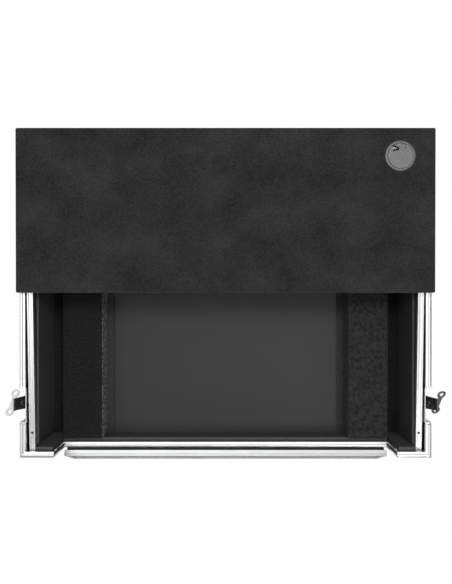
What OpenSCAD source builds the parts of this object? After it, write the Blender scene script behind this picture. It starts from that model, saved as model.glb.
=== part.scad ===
// Base of a road case for a DJ controller: a plywood tub with aluminium edges, a laptop
// platform that slides along its rims, a drop-down front flap, butterfly latches and
// sprung side handles. The lid is a separate object.
// X runs to the right, Y to the rear and Z up. The origin is on the table, under the
// middle of the whole outline. Lengths are in millimetres.

/* [Case] */
// Outer width over the aluminium edges
case_w = 806; // [740:1:900]
// Outer depth over the aluminium edges
case_d = 614; // [560:1:700]
// Height of the rim above the table
rim_z = 193; // [188:1:230]
// Plywood thickness of the walls and the base
ply = 9.5; // [8:0.5:12]
// Height of the front opening's sill above the table
sill_z = 94; // [84:1:104]
// Width of the front wall's stubs beside the opening
stub_w = 66.5; // [50:0.5:110]

/* [Aluminium edging] */
// Wall thickness of the edging's legs
leg_t = 1.25; // [1:0.05:1.5]
// Thickness of the edging on top of the plywood
web_t = 2; // [1.5:0.1:3]
// Height of the outer leg
outer_leg = 20; // [15:1:24]
// Height of the inner leg
inner_leg = 8; // [5:1:12]
// Width of the tongue along the rim
tongue_w = 4; // [3:0.5:5]
// Height of the tongue
tongue_h = 3; // [2:0.5:4]
// Distance from the outer face to the tongue
tongue_in = 2.7; // [2:0.1:4]
// Leg width of the corner and bottom angles
angle_leg = 25; // [20:1:30]
// Depth of the grooved trim on the opening's two ends
jamb_t = 4.5; // [4:0.5:6]
// Width of the jamb's groove for its seal
seal_w = 7; // [4:0.5:8]
// Width of the jamb's inner lip, beside the groove
jamb_lip = 1.4; // [1:0.1:2]
// Depth of the jamb's groove
seal_d = 3; // [2:0.5:3.5]

/* [Inner side walls] */
// Gap between the rim's edging and the inner rail
slot_w = 2.8; // [2:0.1:4]
// Depth of the inner rail's top below the rim at the rear
rail_drop = 2; // [1:0.5:8]
// How much lower the inner rail is at the front
rail_fall = 17.5; // [10:0.5:24]
// Height of the rail's two ridges
ridge_h = 2; // [1:0.5:3]
// Width of each ridge
ridge_w = 3.4; // [2:0.2:4]
// Thickness of the rail's web
rail_web = 1.5; // [1:0.1:2]
// Height of the battens between the double walls
batten_h = 30; // [20:1:34]
// Distance of the end screws from the ends of the case
screw_end = 46; // [35:1:60]

/* [Foam and floor] */
// Thickness of the side and rear lining
lining_t = 5; // [4:0.5:8]
// Thickness of the front lining
front_lining_t = 8.5; // [4:0.5:10]
// Depth of the side lining's top below the rim
side_lining_drop = 34; // [34:1:50]
// Gap between the edging's inner leg and the front and rear lining
lining_gap = 3; // [1:0.5:6]
// Thickness of the foam sheet on the base
liner_t = 3; // [2:0.5:5]
// Thickness of the smooth floor panel
floor_t = 2.5; // [2:0.5:4]
// Half width of the floor panel
floor_half = 240.5; // [200:0.5:250]
// Gap between the floor panel and each side foam block
block_gap = 15.5; // [9.5:0.5:21.5]
// Width of the side foam blocks
block_w = 83; // [70:1:90]
// Depth of the foam blocks' tops below the sill
block_drop = 3; // [0:0.5:10]
// Depth of the rear foam block
rear_block_d = 50; // [40:1:70]

/* [Feet and corners] */
// Height of the rubber feet
foot_h = 12; // [12:0.5:16]
// Radius of the rubber feet
foot_r = 19; // [15:1:24]
// Distance of the feet from the outer faces
foot_inset = 62; // [50:1:90]
// Radius of the foot screw's hole
foot_bore_r = 2.6; // [2:0.1:3.5]
// Radius of the ball corners
ball_r = 20; // [16:1:24]
// How far the balls stand out of the case
ball_out = 4; // [2:0.5:6]
// Width of the ball corners' plates
ball_plate = 42; // [36:1:50]
// Thickness of the ball corners' plates
ball_t = 1.5; // [1:0.1:2]
// Radius of the rivet heads
rivet_r = 3.4; // [2.5:0.1:4.5]
// Height of the rivet heads
rivet_h = 1.3; // [0.8:0.1:2]
// Distance of the end rivets on the rim from the corners
rim_rivet_end = 30; // [20:1:40]
// Distance of the end rivets on the bottom angles from the corners
rivet_end = 70; // [60:1:90]
// Distance of rivets from the cut end of an edging or an angle
rivet_clear = 13; // [8:0.5:15]

/* [Front flap] */
// Radius of the piano hinge's knuckles
knuckle_r = 2.2; // [2:0.1:3]
// Radius of the hinge pin
hinge_pin_r = 1.2; // [1:0.1:1.4]
// Radial running clearance on pins
run_gap = 0.05; // [0.02:0.01:0.1]
// Thickness of the hinge leaves
leaf_t = 1; // [0.8:0.1:1.2]
// Height of each hinge leaf
leaf_h = 14; // [10:1:18]
// Length of one hinge knuckle
knuckle_len = 33; // [20:1:50]
// Gap between the sill and the closed flap
flap_gap = 1; // [0.6:0.1:2]
// Gap between the closed flap and each jamb
flap_side_gap = 1; // [0.6:0.1:2]
// Width of the flap edging's legs
flap_leg = 10; // [8:1:14]
// Clearance under the open flap's lowest edge
flap_floor_gap = 0.4; // [0.3:0.1:1]

/* [Platform] */
// How far the platform stands out over each side
plat_side = 1; // [0:0.1:4]
// Depth of the platform over its carpet
plat_d = 317; // [290:1:340]
// How far the platform stands out behind the case
plat_over = 26; // [15:1:35]
// Carpet thickness
carpet_t = 1.5; // [1:0.1:2.5]
// Height of the runners between the rim and the board
runner_h = 8; // [7:0.5:12]
// Distance of the runners from the faces of the rim
runner_set = 0.5; // [0.2:0.1:1]
// Running gap between the runners and the rim's tongue
runner_gap = 0.3; // [0.2:0.05:0.5]
// Radius of the grommet's hole in the platform
grommet_r = 26.5; // [22:0.5:28]
// Radius of the grommet's flange
flange_r = 29.4; // [28:0.2:32]
// Distance of the grommet from the platform's side edge
grommet_side = 68; // [45:1:110]
// Distance of the grommet from the platform's rear edge
grommet_back = 54; // [45:1:80]
// Thickness of the grommet's flange
flange_t = 2; // [1.5:0.1:3]
// Wall of the grommet's tube
tube_t = 2; // [1.5:0.1:3]

/* [Latches] */
// Distance from the front face to the latches
latch_in = 103; // [90:1:120]
// Width of the latch dish
dish_w = 75; // [70:1:80]
// Inner width of the dish's recess
recess_w = 66; // [60:1:67]
// Sheet thickness of the dishes
sheet_t = 1.2; // [1:0.1:1.5]
// Depth of the latch dish's recess behind the aluminium
recess_d = 11.5; // [11.2:0.1:13.2]
// Depth of the latch's hinge pin below the rim
latch_pin_drop = 64; // [60:1:70]
// Radius of the latch's hinge pin
latch_pin_r = 2; // [1.5:0.1:2.5]
// Outward lean of the open latch
latch_lean = 16; // [8:1:20]
// Width of the latch plate
latch_w = 28; // [24:1:30]
// How much each side of the latch's plate tapers in
latch_taper = 2.5; // [0:0.5:4]
// Turn of the latch's wings from level
wing_turn = 32; // [0:4:80]
// Height of the latch plate above its pin
latch_plate_h = 50; // [44:1:54]
// Height of the turning disc's centre above the pin
disc_v = 30; // [26:1:32]
// Travel of the hook plate
hook_travel = 6; // [4:0.5:7]
// Half length of the wings
wing_half = 29; // [24:1:29]
// Radius of the turning disc
disc_r = 10; // [8:0.5:11]

/* [Side handles] */
// Height of the handle dish's centre above the table
handle_z = 100; // [95:1:110]
// Inner width of the handle recess
handle_w = 126; // [110:1:140]
// Inner height of the handle recess
handle_h = 84; // [76:1:90]
// Height of the handle's pivot above the dish's centre
pivot_rise = 30; // [24:1:32]
// Depth of the handle's bar below the dish's centre
bar_drop = 18; // [12:1:26]
// Gap between the handle's legs and the recess's ends
bail_clear = 9; // [6:0.5:14]
// Depth of the handle dish's recess behind the aluminium
handle_recess_d = 12.9; // [12.5:0.1:13.2]
// Width of the handle dish's flange
handle_flange = 12; // [8:1:14]
// Radius of the handle's pivot pin
handle_pin_r = 3; // [2.5:0.1:3.5]
// Radius of the handle's bar
bar_r = 4.5; // [4:0.5:5]
// Radius of the rubber grip
grip_r = 6; // [5.5:0.1:6.2]

/* [Rear port] */
// Width of the rear cable port
port_w = 180; // [120:1:260]
// Height of the rear cable port
port_h = 48; // [40:1:48]
// Height of the port's centre above the table
port_z = 130; // [120:1:131]
// Wall thickness of the port's bezel
bezel_t = 2; // [1.5:0.1:3]
// Width of the bezel's flange
bezel_flange = 12; // [8:1:12]

/* [Hidden] */
$fn = 48;
eps = 0.01;
big = 2000;

// Colours as seen: dark laminate, bright aluminium, foam, carpet and plated steel.
c_ply = [0.09, 0.09, 0.095];
c_alu = [0.82, 0.83, 0.85];
c_foam = [0.13, 0.13, 0.14];
c_carpet = [0.2, 0.2, 0.21];
c_steel = [0.7, 0.71, 0.73];
c_black = [0.05, 0.05, 0.055];
c_plastic = [0.42, 0.42, 0.43];

half_w = case_w / 2;
ext_w = ply + 2 * leg_t;
wall_out = half_w - leg_t;
wall_in = wall_out - ply;
ext_in = half_w - ext_w;
wall_top = rim_z - tongue_h - web_t;
sill_ply = sill_z - tongue_h - web_t;

// The open flap hangs from the hinge with its free edge just above the table.
hinge_z = sill_z + flap_gap / 2;
flap_h = rim_z - sill_z - flap_gap;
flap_far = flap_h + flap_gap / 2;
flap_reach = sqrt(pow(knuckle_r, 2) + pow(flap_far, 2));
flap_lean = acos(min(1, (hinge_z - flap_floor_gap) / flap_reach)) - atan(knuckle_r / flap_far);
flap_turn = 180 - flap_lean;
flap_out = knuckle_r + (knuckle_r + ext_w) * cos(flap_lean) + flap_far * sin(flap_lean);

case_cy = (flap_out - plat_over) / 2;
front_y = case_cy - case_d / 2;
rear_y = case_cy + case_d / 2;
front_in = front_y + leg_t + ply;
rear_in = rear_y - leg_t - ply;
hinge_y = front_y - knuckle_r;
opening_half = half_w - stub_w;
flap_half = opening_half - flap_side_gap;

rail_out = ext_in - slot_w;
panel_out = rail_out - leg_t;
panel_in = panel_out - ply;
rail_in = rail_out - ext_w;
rail_rear_y = rear_y - ext_w;
rail_top = rim_z - rail_drop;
panel_top = rail_top - ridge_h - rail_web;
lining_in = panel_in - lining_t;

base_top = foot_h + ply;
liner_top = base_top + liner_t;
floor_top = liner_top + floor_t;
lining_front_y = front_in + front_lining_t;
lining_rear_y = rear_in - lining_t;
lining_top = wall_top - inner_leg - lining_gap;
block_top = sill_z - block_drop;
block_in = floor_half + block_gap;

plat_half = half_w + plat_side;
grommet_x = plat_half - grommet_side;
plat_rear = rear_y + plat_over;
plat_front = plat_rear - plat_d;
board_z = rim_z + runner_h;
board_top = board_z + ply;
carpet_top = board_top + carpet_t;
grommet_y = plat_rear - grommet_back;

latch_y = front_y + latch_in;
latch_pin_z = rim_z - latch_pin_drop;
recess_back = half_w - recess_d;
handle_back = half_w - handle_recess_d;
latch_pin_x = recess_back + 3.9;
dish_top = rim_z - tongue_h - 0.2;
dish_bottom = latch_pin_z - 10;
barrel_r = latch_pin_r + 1.4;
hook_top = latch_pin_drop - tongue_h - 0.5;
wing_u = 10.5;
wing_pin_r = 1.2;

handle_y = case_cy;
handle_x = handle_back + grip_r + 0.5;
pivot_z = handle_z + pivot_rise;
bar_z = handle_z - bar_drop;
bail_half = handle_w / 2 - bail_clear;

// Plain helpers.
module box(a, b) {
    translate(a) cube([b[0] - a[0], b[1] - a[1], b[2] - a[2]]);
}
module both_sides() {
    children();
    mirror([1, 0, 0]) children();
}
module left() {
    mirror([1, 0, 0]) children();
}
module rod_y(r, a, b) {
    translate([0, a, 0]) rotate([-90, 0, 0]) cylinder(r = r, h = b - a);
}
module rod_x(r, a, b) {
    translate([a, 0, 0]) rotate([0, 90, 0]) cylinder(r = r, h = b - a);
}

// The edging's section: a channel over the plywood, with a tongue on top.
// x is 0 on the outer face and grows inwards, y is 0 at the top of the tongue.
module edging_section() {
    difference() {
        translate([0, -tongue_h - web_t - outer_leg]) square([ext_w, web_t + outer_leg]);
        translate([leg_t, -tongue_h - web_t - outer_leg - 1]) square([ply, outer_leg + 1]);
        translate([leg_t, -tongue_h - web_t - outer_leg - 1])
            square([ext_w, outer_leg - inner_leg + 1]);
    }
    translate([tongue_in, -tongue_h - eps]) square([tongue_w, tongue_h + eps]);
}
// A length of edging along +Y from y0 to y1 with its outer face at x = 0, facing -X.
module edging(y0, y1) {
    translate([0, y1, 0]) rotate([90, 0, 0]) linear_extrude(height = y1 - y0) edging_section();
}
// Removes what lies past a 45 degree mitre through the corner at the origin.
module mitre_cut(dir) {
    rotate([0, 0, 45 * dir]) translate([-big / 2, dir > 0 ? -big : 0, -big / 2]) cube([big, big, big]);
}

// Walls and base.
module base_board() {
    color(c_ply) box([-wall_in, front_in, foot_h], [wall_in, rear_in, base_top]);
}
module side_wall() {
    color(c_ply) difference() {
        box([wall_in, front_y + leg_t, foot_h], [wall_out, rear_y - leg_t, wall_top]);
        // room for the latch dish, open at the top
        box([wall_in - 1, latch_y - recess_w / 2 - sheet_t, dish_bottom - sheet_t],
            [wall_out + 1, latch_y + recess_w / 2 + sheet_t, rim_z]);
        // room for the handle dish
        box([wall_in - 1, handle_y - handle_w / 2 - sheet_t, handle_z - handle_h / 2 - sheet_t],
            [wall_out + 1, handle_y + handle_w / 2 + sheet_t, handle_z + handle_h / 2 + sheet_t]);
    }
}
module front_wall() {
    color(c_ply) difference() {
        box([-wall_in, front_y + leg_t, foot_h], [wall_in, front_in, wall_top]);
        box([-opening_half - jamb_t, front_y, sill_ply], [opening_half + jamb_t, front_in + 1, rim_z]);
    }
}
module port_hole(y0, y1, grow) {
    box([-port_w / 2 - grow, y0, port_z - port_h / 2 - grow],
        [port_w / 2 + grow, y1, port_z + port_h / 2 + grow]);
}
module rear_wall() {
    color(c_ply) difference() {
        box([-wall_in, rear_in, foot_h], [wall_in, rear_y - leg_t, wall_top]);
        port_hole(rear_in - 1, rear_y, bezel_t);
    }
}

// Aluminium edging on the rims and the sill.
module rim_side() {
    color(c_alu) difference() {
        translate([half_w, 0, rim_z]) mirror([1, 0, 0]) edging(front_y, rear_y);
        translate([half_w, front_y, rim_z]) mirror([1, 0, 0]) mitre_cut(1);
        translate([half_w, rear_y, rim_z]) mirror([1, 0, 0]) mitre_cut(-1);
        // the latch dish interrupts the rim
        box([ext_in - 1, latch_y - dish_w / 2, wall_top - outer_leg - 1],
            [half_w + 1, latch_y + dish_w / 2, rim_z + 1]);
    }
}
module rim_rear() {
    color(c_alu) difference() {
        translate([0, rear_y, rim_z]) rotate([0, 0, -90]) edging(-half_w, half_w);
        translate([half_w, rear_y, rim_z]) mirror([1, 0, 0]) mitre_rest(-1);
        translate([-half_w, rear_y, rim_z]) mitre_rest(-1);
    }
}
// The other side of a mitre, for the piece that runs along X.
module mitre_rest(dir) {
    rotate([0, 0, 45 * dir]) translate([-big / 2, dir > 0 ? 0 : -big, -big / 2]) cube([big, big, big]);
}
module rim_front_stub() {
    difference() {
        translate([0, front_y, rim_z]) rotate([0, 0, 90]) edging(-half_w, -opening_half);
        translate([half_w, front_y, rim_z]) mirror([1, 0, 0]) mitre_rest(1);
    }
}
module rim_front() {
    color(c_alu) both_sides() rim_front_stub();
}
module sill_edging() {
    color(c_alu) translate([0, front_y, sill_z]) rotate([0, 0, 90]) edging(-opening_half, opening_half);
}
// A trim on each end of the opening, with a groove for a rubber seal.
seal_in = ext_w - jamb_lip - seal_w;
module jamb_trim() {
    difference() {
        union() {
            box([opening_half, front_y + leg_t, sill_ply], [opening_half + jamb_t, front_in, wall_top]);
            box([opening_half, front_y, sill_ply],
                [opening_half + jamb_t, front_y + ext_w, wall_top - outer_leg]);
        }
        box([opening_half - 1, front_y + seal_in, sill_ply - 1],
            [opening_half + seal_d, front_y + seal_in + seal_w, wall_top + 1]);
    }
}
module jamb_trims() {
    color(c_alu) both_sides() jamb_trim();
}
module jamb_seals() {
    color(c_black) both_sides()
        box([opening_half + 0.4, front_y + seal_in, sill_ply],
            [opening_half + seal_d, front_y + seal_in + seal_w, wall_top]);
}

// Inner side walls with their falling top edge.
// A ribbon follows that edge between two heights measured from it.
module ribbon(x0, x1, up, down, y0, y1, level) {
    translate([x0, 0, 0]) rotate([90, 0, 90]) linear_extrude(height = x1 - x0)
        polygon([[y0, level - rail_fall + up], [plat_front, level + up], [y1, level + up],
                 [y1, level - down], [plat_front, level - down], [y0, level - rail_fall - down]]);
}
module inner_panels() {
    color(c_ply) both_sides() translate([panel_in, 0, 0]) rotate([90, 0, 90])
        linear_extrude(height = ply)
            polygon([[front_in, base_top], [front_in, panel_top - rail_fall], [plat_front, panel_top],
                     [rail_rear_y, panel_top], [rail_rear_y, base_top]]);
}
module inner_rails() {
    color(c_alu) both_sides() difference() {
        union() {
            ribbon(rail_in, rail_out, rail_web, 0, front_in, rail_rear_y, panel_top);
            ribbon(rail_in, rail_in + leg_t, rail_web, inner_leg, front_in, rail_rear_y, panel_top);
            ribbon(rail_out - leg_t, rail_out, rail_web, inner_leg, front_in, rail_rear_y, panel_top);
            ribbon(rail_in, rail_in + ridge_w, rail_web + ridge_h, 0, front_in, rail_rear_y, panel_top);
            ribbon(rail_out - ridge_w, rail_out, rail_web + ridge_h, 0, front_in, rail_rear_y, panel_top);
        }
        for (y = screw_ys) translate([(rail_in + rail_out) / 2, y, 0])
            cylinder(r = rail_screw_r + run_gap, h = rim_z);
    }
}
// Screws in the rail's valley: one near its front end, the others along its level part.
rail_screw_r = 1.6;
rail_head_h = 0.9;
screw_lift = 0.1;
screw_ys = concat([front_y + screw_end], spread(plat_front + screw_end, rear_y - screw_end, 3));
function valley_z(y) = panel_top + rail_web
    - rail_fall * max(0, (plat_front - y) / (plat_front - front_in));
module rail_screws() {
    color(c_steel) both_sides() for (y = screw_ys)
        translate([(rail_in + rail_out) / 2, y, valley_z(y) + screw_lift]) {
            cylinder(r = rail_screw_r * 1.5, h = rail_head_h);
            translate([0, 0, 2 * screw_lift - rail_web]) cylinder(r = rail_screw_r, h = rail_web);
        }
}
// Battens close the gap between the outer wall and the inner panel, below the dishes.
module spacer_battens() {
    color(c_ply) both_sides()
        box([panel_out, front_in, base_top], [wall_in, rail_rear_y, base_top + batten_h]);
}

// Linings, floor and foam.
module side_linings() {
    color(c_foam) both_sides()
        box([lining_in, lining_front_y, base_top], [panel_in, lining_rear_y, rim_z - side_lining_drop]);
}
module front_lining() {
    color(c_foam) difference() {
        box([-rail_in, front_in, base_top], [rail_in, lining_front_y, lining_top]);
        box([-opening_half - jamb_t, front_in - 1, sill_ply - inner_leg - lining_gap],
            [opening_half + jamb_t, lining_front_y + 1, rim_z]);
    }
}
module rear_lining() {
    color(c_foam) difference() {
        box([-rail_in, lining_rear_y, base_top], [rail_in, rear_in, lining_top]);
        port_hole(lining_rear_y - 1, rear_in + 1, bezel_t);
    }
}
module base_liner() {
    color(c_foam) box([-lining_in, lining_front_y, base_top], [lining_in, lining_rear_y, liner_top]);
}
module floor_panel() {
    color(c_black) box([-floor_half, lining_front_y, liner_top],
                       [floor_half, lining_rear_y - rear_block_d, floor_top]);
}
module foam_block() {
    color(c_foam) box([block_in, lining_front_y, liner_top],
                      [block_in + block_w, lining_rear_y, block_top]);
}
module foam_block_rear() {
    color(c_foam) box([-block_in, lining_rear_y - rear_block_d, liner_top],
                      [block_in, lining_rear_y, block_top]);
}

// Corner metalwork and feet.
angle_z = foot_h - leg_t;
module bottom_angles() {
    color(c_alu) {
        both_sides() difference() {
            box([half_w - angle_leg, front_y, angle_z], [half_w, rear_y, angle_z + angle_leg]);
            box([half_w - angle_leg - 1, front_y - 1, foot_h], [wall_out, rear_y + 1, rim_z]);
        }
        for (side = [0, 1]) translate([0, 2 * case_cy * side, 0]) mirror([0, side, 0])
            difference() {
                box([-half_w + angle_leg, front_y, angle_z], [half_w - angle_leg, front_y + angle_leg,
                    angle_z + angle_leg]);
                box([-half_w, front_y + leg_t, foot_h], [half_w, front_y + angle_leg + 1, rim_z]);
            }
    }
}
module at_corners() {
    for (side = [0, 1]) translate([0, 2 * case_cy * side, 0]) mirror([0, side, 0])
        both_sides() children();
}
module corner_angles() {
    color(c_alu) at_corners() difference() {
        box([half_w - angle_leg, front_y, angle_z + angle_leg], [half_w, front_y + angle_leg,
            wall_top - outer_leg]);
        box([0, front_y + leg_t, 0], [wall_out, front_y + angle_leg + 1, rim_z]);
    }
}
ball_in = ball_r - ball_out;
// Three plates with cut corners meet in a ball at each bottom corner of the case.
module plate_outline() {
    polygon([[-ball_t, -ball_t], [ball_plate, -ball_t], [ball_plate, rivet_clear * 1.5],
             [rivet_clear * 1.5, ball_plate], [-ball_t, ball_plate]]);
}
module ball_corner() {
    difference() {
        union() {
            translate([ball_in, ball_in, ball_in]) sphere(r = ball_r, $fn = 12);
            mirror([0, 0, 1]) linear_extrude(height = ball_t) plate_outline();
            rotate([90, 0, 0]) linear_extrude(height = ball_t) plate_outline();
            mirror([1, -1, 0]) rotate([90, 0, 0]) linear_extrude(height = ball_t) plate_outline();
        }
        cube(big);
    }
}
module ball_corners() {
    color(c_steel) at_corners() translate([half_w, front_y, angle_z]) mirror([1, 0, 0]) ball_corner();
}
module feet_at() {
    at_corners() translate([half_w - foot_inset, front_y + foot_inset, 0]) children();
}
module rubber_feet() {
    color(c_black) feet_at() difference() {
        cylinder(r1 = foot_r - 2, r2 = foot_r, h = foot_h);
        translate([0, 0, -1]) cylinder(r = foot_bore_r + 4, h = 1 + foot_h / 2);
        translate([0, 0, -1]) cylinder(r = foot_bore_r, h = foot_h + 2);
    }
}
module foot_screws() {
    color(c_steel) feet_at() {
        translate([0, 0, foot_h / 2 - 3]) cylinder(r = foot_bore_r + 2.6, h = 3);
        translate([0, 0, foot_h / 2 - eps]) cylinder(r = foot_bore_r - run_gap, h = foot_h / 2 + eps);
    }
}
// Domed rivets hold the edging and the angles. n are spread between a and b.
function spread(a, b, n) = [for (i = [0 : n - 1]) a + (b - a) * i / (n - 1)];
module rivet_x() {
    rotate([0, 90, 0]) cylinder(r1 = rivet_r, r2 = rivet_r * 0.6, h = rivet_h);
}
module rivet_y() {
    rotate([90, 0, 0]) cylinder(r1 = rivet_r, r2 = rivet_r * 0.6, h = rivet_h);
}
module case_rivets() {
    rim_row = wall_top - outer_leg / 2;
    angle_row = angle_z + angle_leg / 2;
    post_row = spread(angle_z + ball_plate + rivet_clear, wall_top - outer_leg - rivet_clear, 2);
    plate_rivet = ball_plate - rivet_clear / 2;
    plate_edge = rivet_clear;
    color(c_steel) {
        both_sides() {
            for (y = spread(front_y + rim_rivet_end, latch_y - dish_w / 2 - rivet_clear, 2))
                translate([half_w, y, rim_row]) rivet_x();
            for (y = spread(latch_y + dish_w / 2 + rivet_clear, rear_y - rim_rivet_end, 5))
                translate([half_w, y, rim_row]) rivet_x();
            for (y = spread(front_y + rivet_end, rear_y - rivet_end, 5))
                translate([half_w, y, angle_row]) rivet_x();
            for (z = post_row)
                for (y = [front_y + angle_leg / 2, rear_y - angle_leg / 2])
                    translate([half_w, y, z]) rivet_x();
            // two on each plate of the ball corners
            for (at = [[plate_rivet, plate_edge], [plate_edge, plate_rivet]])
                for (y = [front_y + at[0], rear_y - at[0]])
                    translate([half_w + ball_t, y, angle_z + at[1]]) rivet_x();
            for (x = spread(opening_half + rivet_clear, half_w - 2 * rivet_clear, 2))
                translate([x, front_y, rim_row]) rivet_y();
            for (z = post_row)
                translate([half_w - angle_leg / 2, front_y, z]) rivet_y();
            for (at = [[plate_rivet, plate_edge], [plate_edge, plate_rivet]])
                translate([half_w - at[0], front_y - ball_t, angle_z + at[1]]) rivet_y();
        }
        for (x = spread(-half_w + rivet_end, half_w - rivet_end, 7))
            translate([x, front_y, angle_row]) rivet_y();
        translate([0, 2 * case_cy, 0]) mirror([0, 1, 0]) {
            for (x = spread(-half_w + rivet_end, half_w - rivet_end, 7)) {
                translate([x, front_y, angle_row]) rivet_y();
                translate([x, front_y, rim_row]) rivet_y();
            }
            both_sides() {
                for (z = post_row)
                    translate([half_w - angle_leg / 2, front_y, z]) rivet_y();
                for (at = [[plate_rivet, plate_edge], [plate_edge, plate_rivet]])
                    translate([half_w - at[0], front_y - ball_t, angle_z + at[1]]) rivet_y();
            }
        }
    }
}

// Rear cable port: a bezel through the wall and its lining.
module port_bezel() {
    color(c_black) difference() {
        union() {
            port_hole(lining_rear_y, rear_y - leg_t + eps, bezel_t);
            port_hole(rear_y - leg_t, rear_y - leg_t + bezel_t, bezel_flange);
        }
        port_hole(lining_rear_y - 1, rear_y + bezel_t + 1, 0);
    }
}

// Front flap on a piano hinge. It is drawn closed about the hinge's axis, then turned open.
knuckles = floor(2 * (flap_half - 4) / knuckle_len);
hinge_half = knuckles * knuckle_len / 2;
knuckle_gap = 0.4;
module at_hinge() {
    translate([0, hinge_y, hinge_z]) children();
}
// One leaf with every second knuckle, its plate on the side of +Z.
module hinge_leaf(first) {
    difference() {
        union() {
            box([-hinge_half, knuckle_r - leaf_t, knuckle_r + 0.5], [hinge_half, knuckle_r, leaf_h]);
            for (k = [first : 2 : knuckles - 1]) {
                x0 = -hinge_half + k * knuckle_len + knuckle_gap / 2;
                x1 = x0 + knuckle_len - knuckle_gap;
                rod_x(knuckle_r, x0, x1);
                box([x0, knuckle_r - leaf_t, 0], [x1, knuckle_r, leaf_h - 1]);
            }
        }
        rod_x(hinge_pin_r + run_gap, -hinge_half - 1, hinge_half + 1);
    }
}
module hinge_wall_leaf() {
    color(c_steel) at_hinge() mirror([0, 0, 1]) hinge_leaf(0);
}
module hinge_pin() {
    color(c_steel) at_hinge() rod_x(hinge_pin_r, -hinge_half + 1, hinge_half - 1);
}
module flap_open() {
    at_hinge() rotate([flap_turn, 0, 0]) children();
}
module hinge_flap_leaf() {
    color(c_steel) flap_open() hinge_leaf(1);
}
module flap_slab(inset_xz, y0, y1) {
    box([-flap_half + inset_xz, knuckle_r + y0, flap_gap / 2 + inset_xz],
        [flap_half - inset_xz, knuckle_r + y1, flap_far - inset_xz]);
}
module flap_board() {
    color(c_ply) flap_open() flap_slab(leg_t, leg_t, leg_t + ply);
}
groove_w = 1.6;
groove_d = 0.9;
module flap_edging() {
    color(c_alu) flap_open() difference() {
        flap_slab(0, 0, ext_w);
        flap_slab(leg_t, leg_t, leg_t + ply);
        flap_slab(flap_leg, -1, ext_w + 1);
        // a fine groove along the hinged edge and the free edge
        for (z = [flap_gap / 2, flap_far])
            translate([0, knuckle_r + ext_w * 0.68, z])
                cube([big, groove_w, 2 * groove_d], center = true);
    }
}

// Laptop platform.
module grommet_at() {
    translate([grommet_x, grommet_y, 0]) children();
}
module platform_board() {
    color(c_ply) difference() {
        box([-plat_half + carpet_t, plat_front + carpet_t, board_z],
            [plat_half - carpet_t, plat_rear - carpet_t, board_top]);
        grommet_at() translate([0, 0, board_z - 1]) cylinder(r = grommet_r, h = ply + 2);
    }
}
module platform_carpet() {
    color(c_carpet) difference() {
        box([-plat_half, plat_front, board_z], [plat_half, plat_rear, carpet_top]);
        box([-plat_half + carpet_t, plat_front + carpet_t, board_z - 1],
            [plat_half - carpet_t, plat_rear - carpet_t, board_top]);
        grommet_at() translate([0, 0, board_z]) cylinder(r = grommet_r, h = ply + 4);
    }
}
runner_out = half_w - runner_set;
runner_in = ext_in + runner_set;
runner_end = 6;
module platform_runners() {
    color(c_black) both_sides() difference() {
        box([runner_in, plat_front + runner_end, rim_z - tongue_h + 2 * runner_gap],
            [runner_out, rear_y - ext_w - 1, board_z]);
        box([half_w - tongue_in - tongue_w - runner_gap, plat_front, rim_z - tongue_h],
            [half_w - tongue_in + runner_gap, rear_y, rim_z + runner_gap]);
        for (y = plat_screw_ys) translate([(runner_in + runner_out) / 2, y, rim_z])
            cylinder(r = plat_screw_r + run_gap, h = runner_h + 1);
    }
}
plat_screw_r = 1.5;
plat_screw_ys = spread(plat_front + rim_rivet_end, rear_y - rim_rivet_end, 4);
// Screws whose heads sit in the runners' groove.
module platform_screws() {
    color(c_steel) both_sides() for (y = plat_screw_ys)
        translate([(runner_in + runner_out) / 2, y, rim_z + 2]) cylinder(r = plat_screw_r, h = runner_h - 2);
}
shutter_t = 1.6;
shutter_z = carpet_top - 3;
cap_z = shutter_z + shutter_t + 0.2;
cap_pin_r = 2;
cap_gap = 0.4;
// The cap's notch and the shutter's overlap in part, which leaves a way for cables.
notch_w = 26;
cap_notch = [100, 11];
shutter_notch = [150, 8];
module grommet_liner() {
    color(c_plastic) grommet_at() difference() {
        union() {
            translate([0, 0, board_z - 2]) cylinder(r = grommet_r, h = carpet_top + 1 - board_z + 2);
            translate([0, 0, carpet_top]) cylinder(r1 = flange_r, r2 = flange_r - 1, h = flange_t);
        }
        translate([0, 0, board_z - 3]) cylinder(r = grommet_r - tube_t, h = ply + 20);
    }
}
// A round plate with a notch cut in from its edge. at holds the notch's angle and its
// inner end's distance from the centre.
module notched(r, h, at) {
    difference() {
        cylinder(r = r, h = h);
        rotate([0, 0, at[0]]) translate([at[1], -notch_w / 2, -1]) cube([r, notch_w, h + 2]);
    }
}
module grommet_shutter() {
    color(c_plastic) grommet_at() translate([0, 0, shutter_z]) difference() {
        notched(grommet_r - tube_t, shutter_t, shutter_notch);
        translate([0, 0, -1]) cylinder(r = cap_pin_r + run_gap, h = shutter_t + 2);
    }
}
module grommet_cap() {
    color(c_plastic) grommet_at() {
        translate([0, 0, cap_z])
            notched(grommet_r - tube_t - cap_gap, carpet_top + flange_t - cap_z, cap_notch);
        translate([0, 0, shutter_z - 2]) cylinder(r = cap_pin_r, h = cap_z - shutter_z + 2 + eps);
        translate([0, 0, shutter_z - 2.2]) cylinder(r = cap_pin_r + 1.5, h = 2);
    }
}

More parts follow.
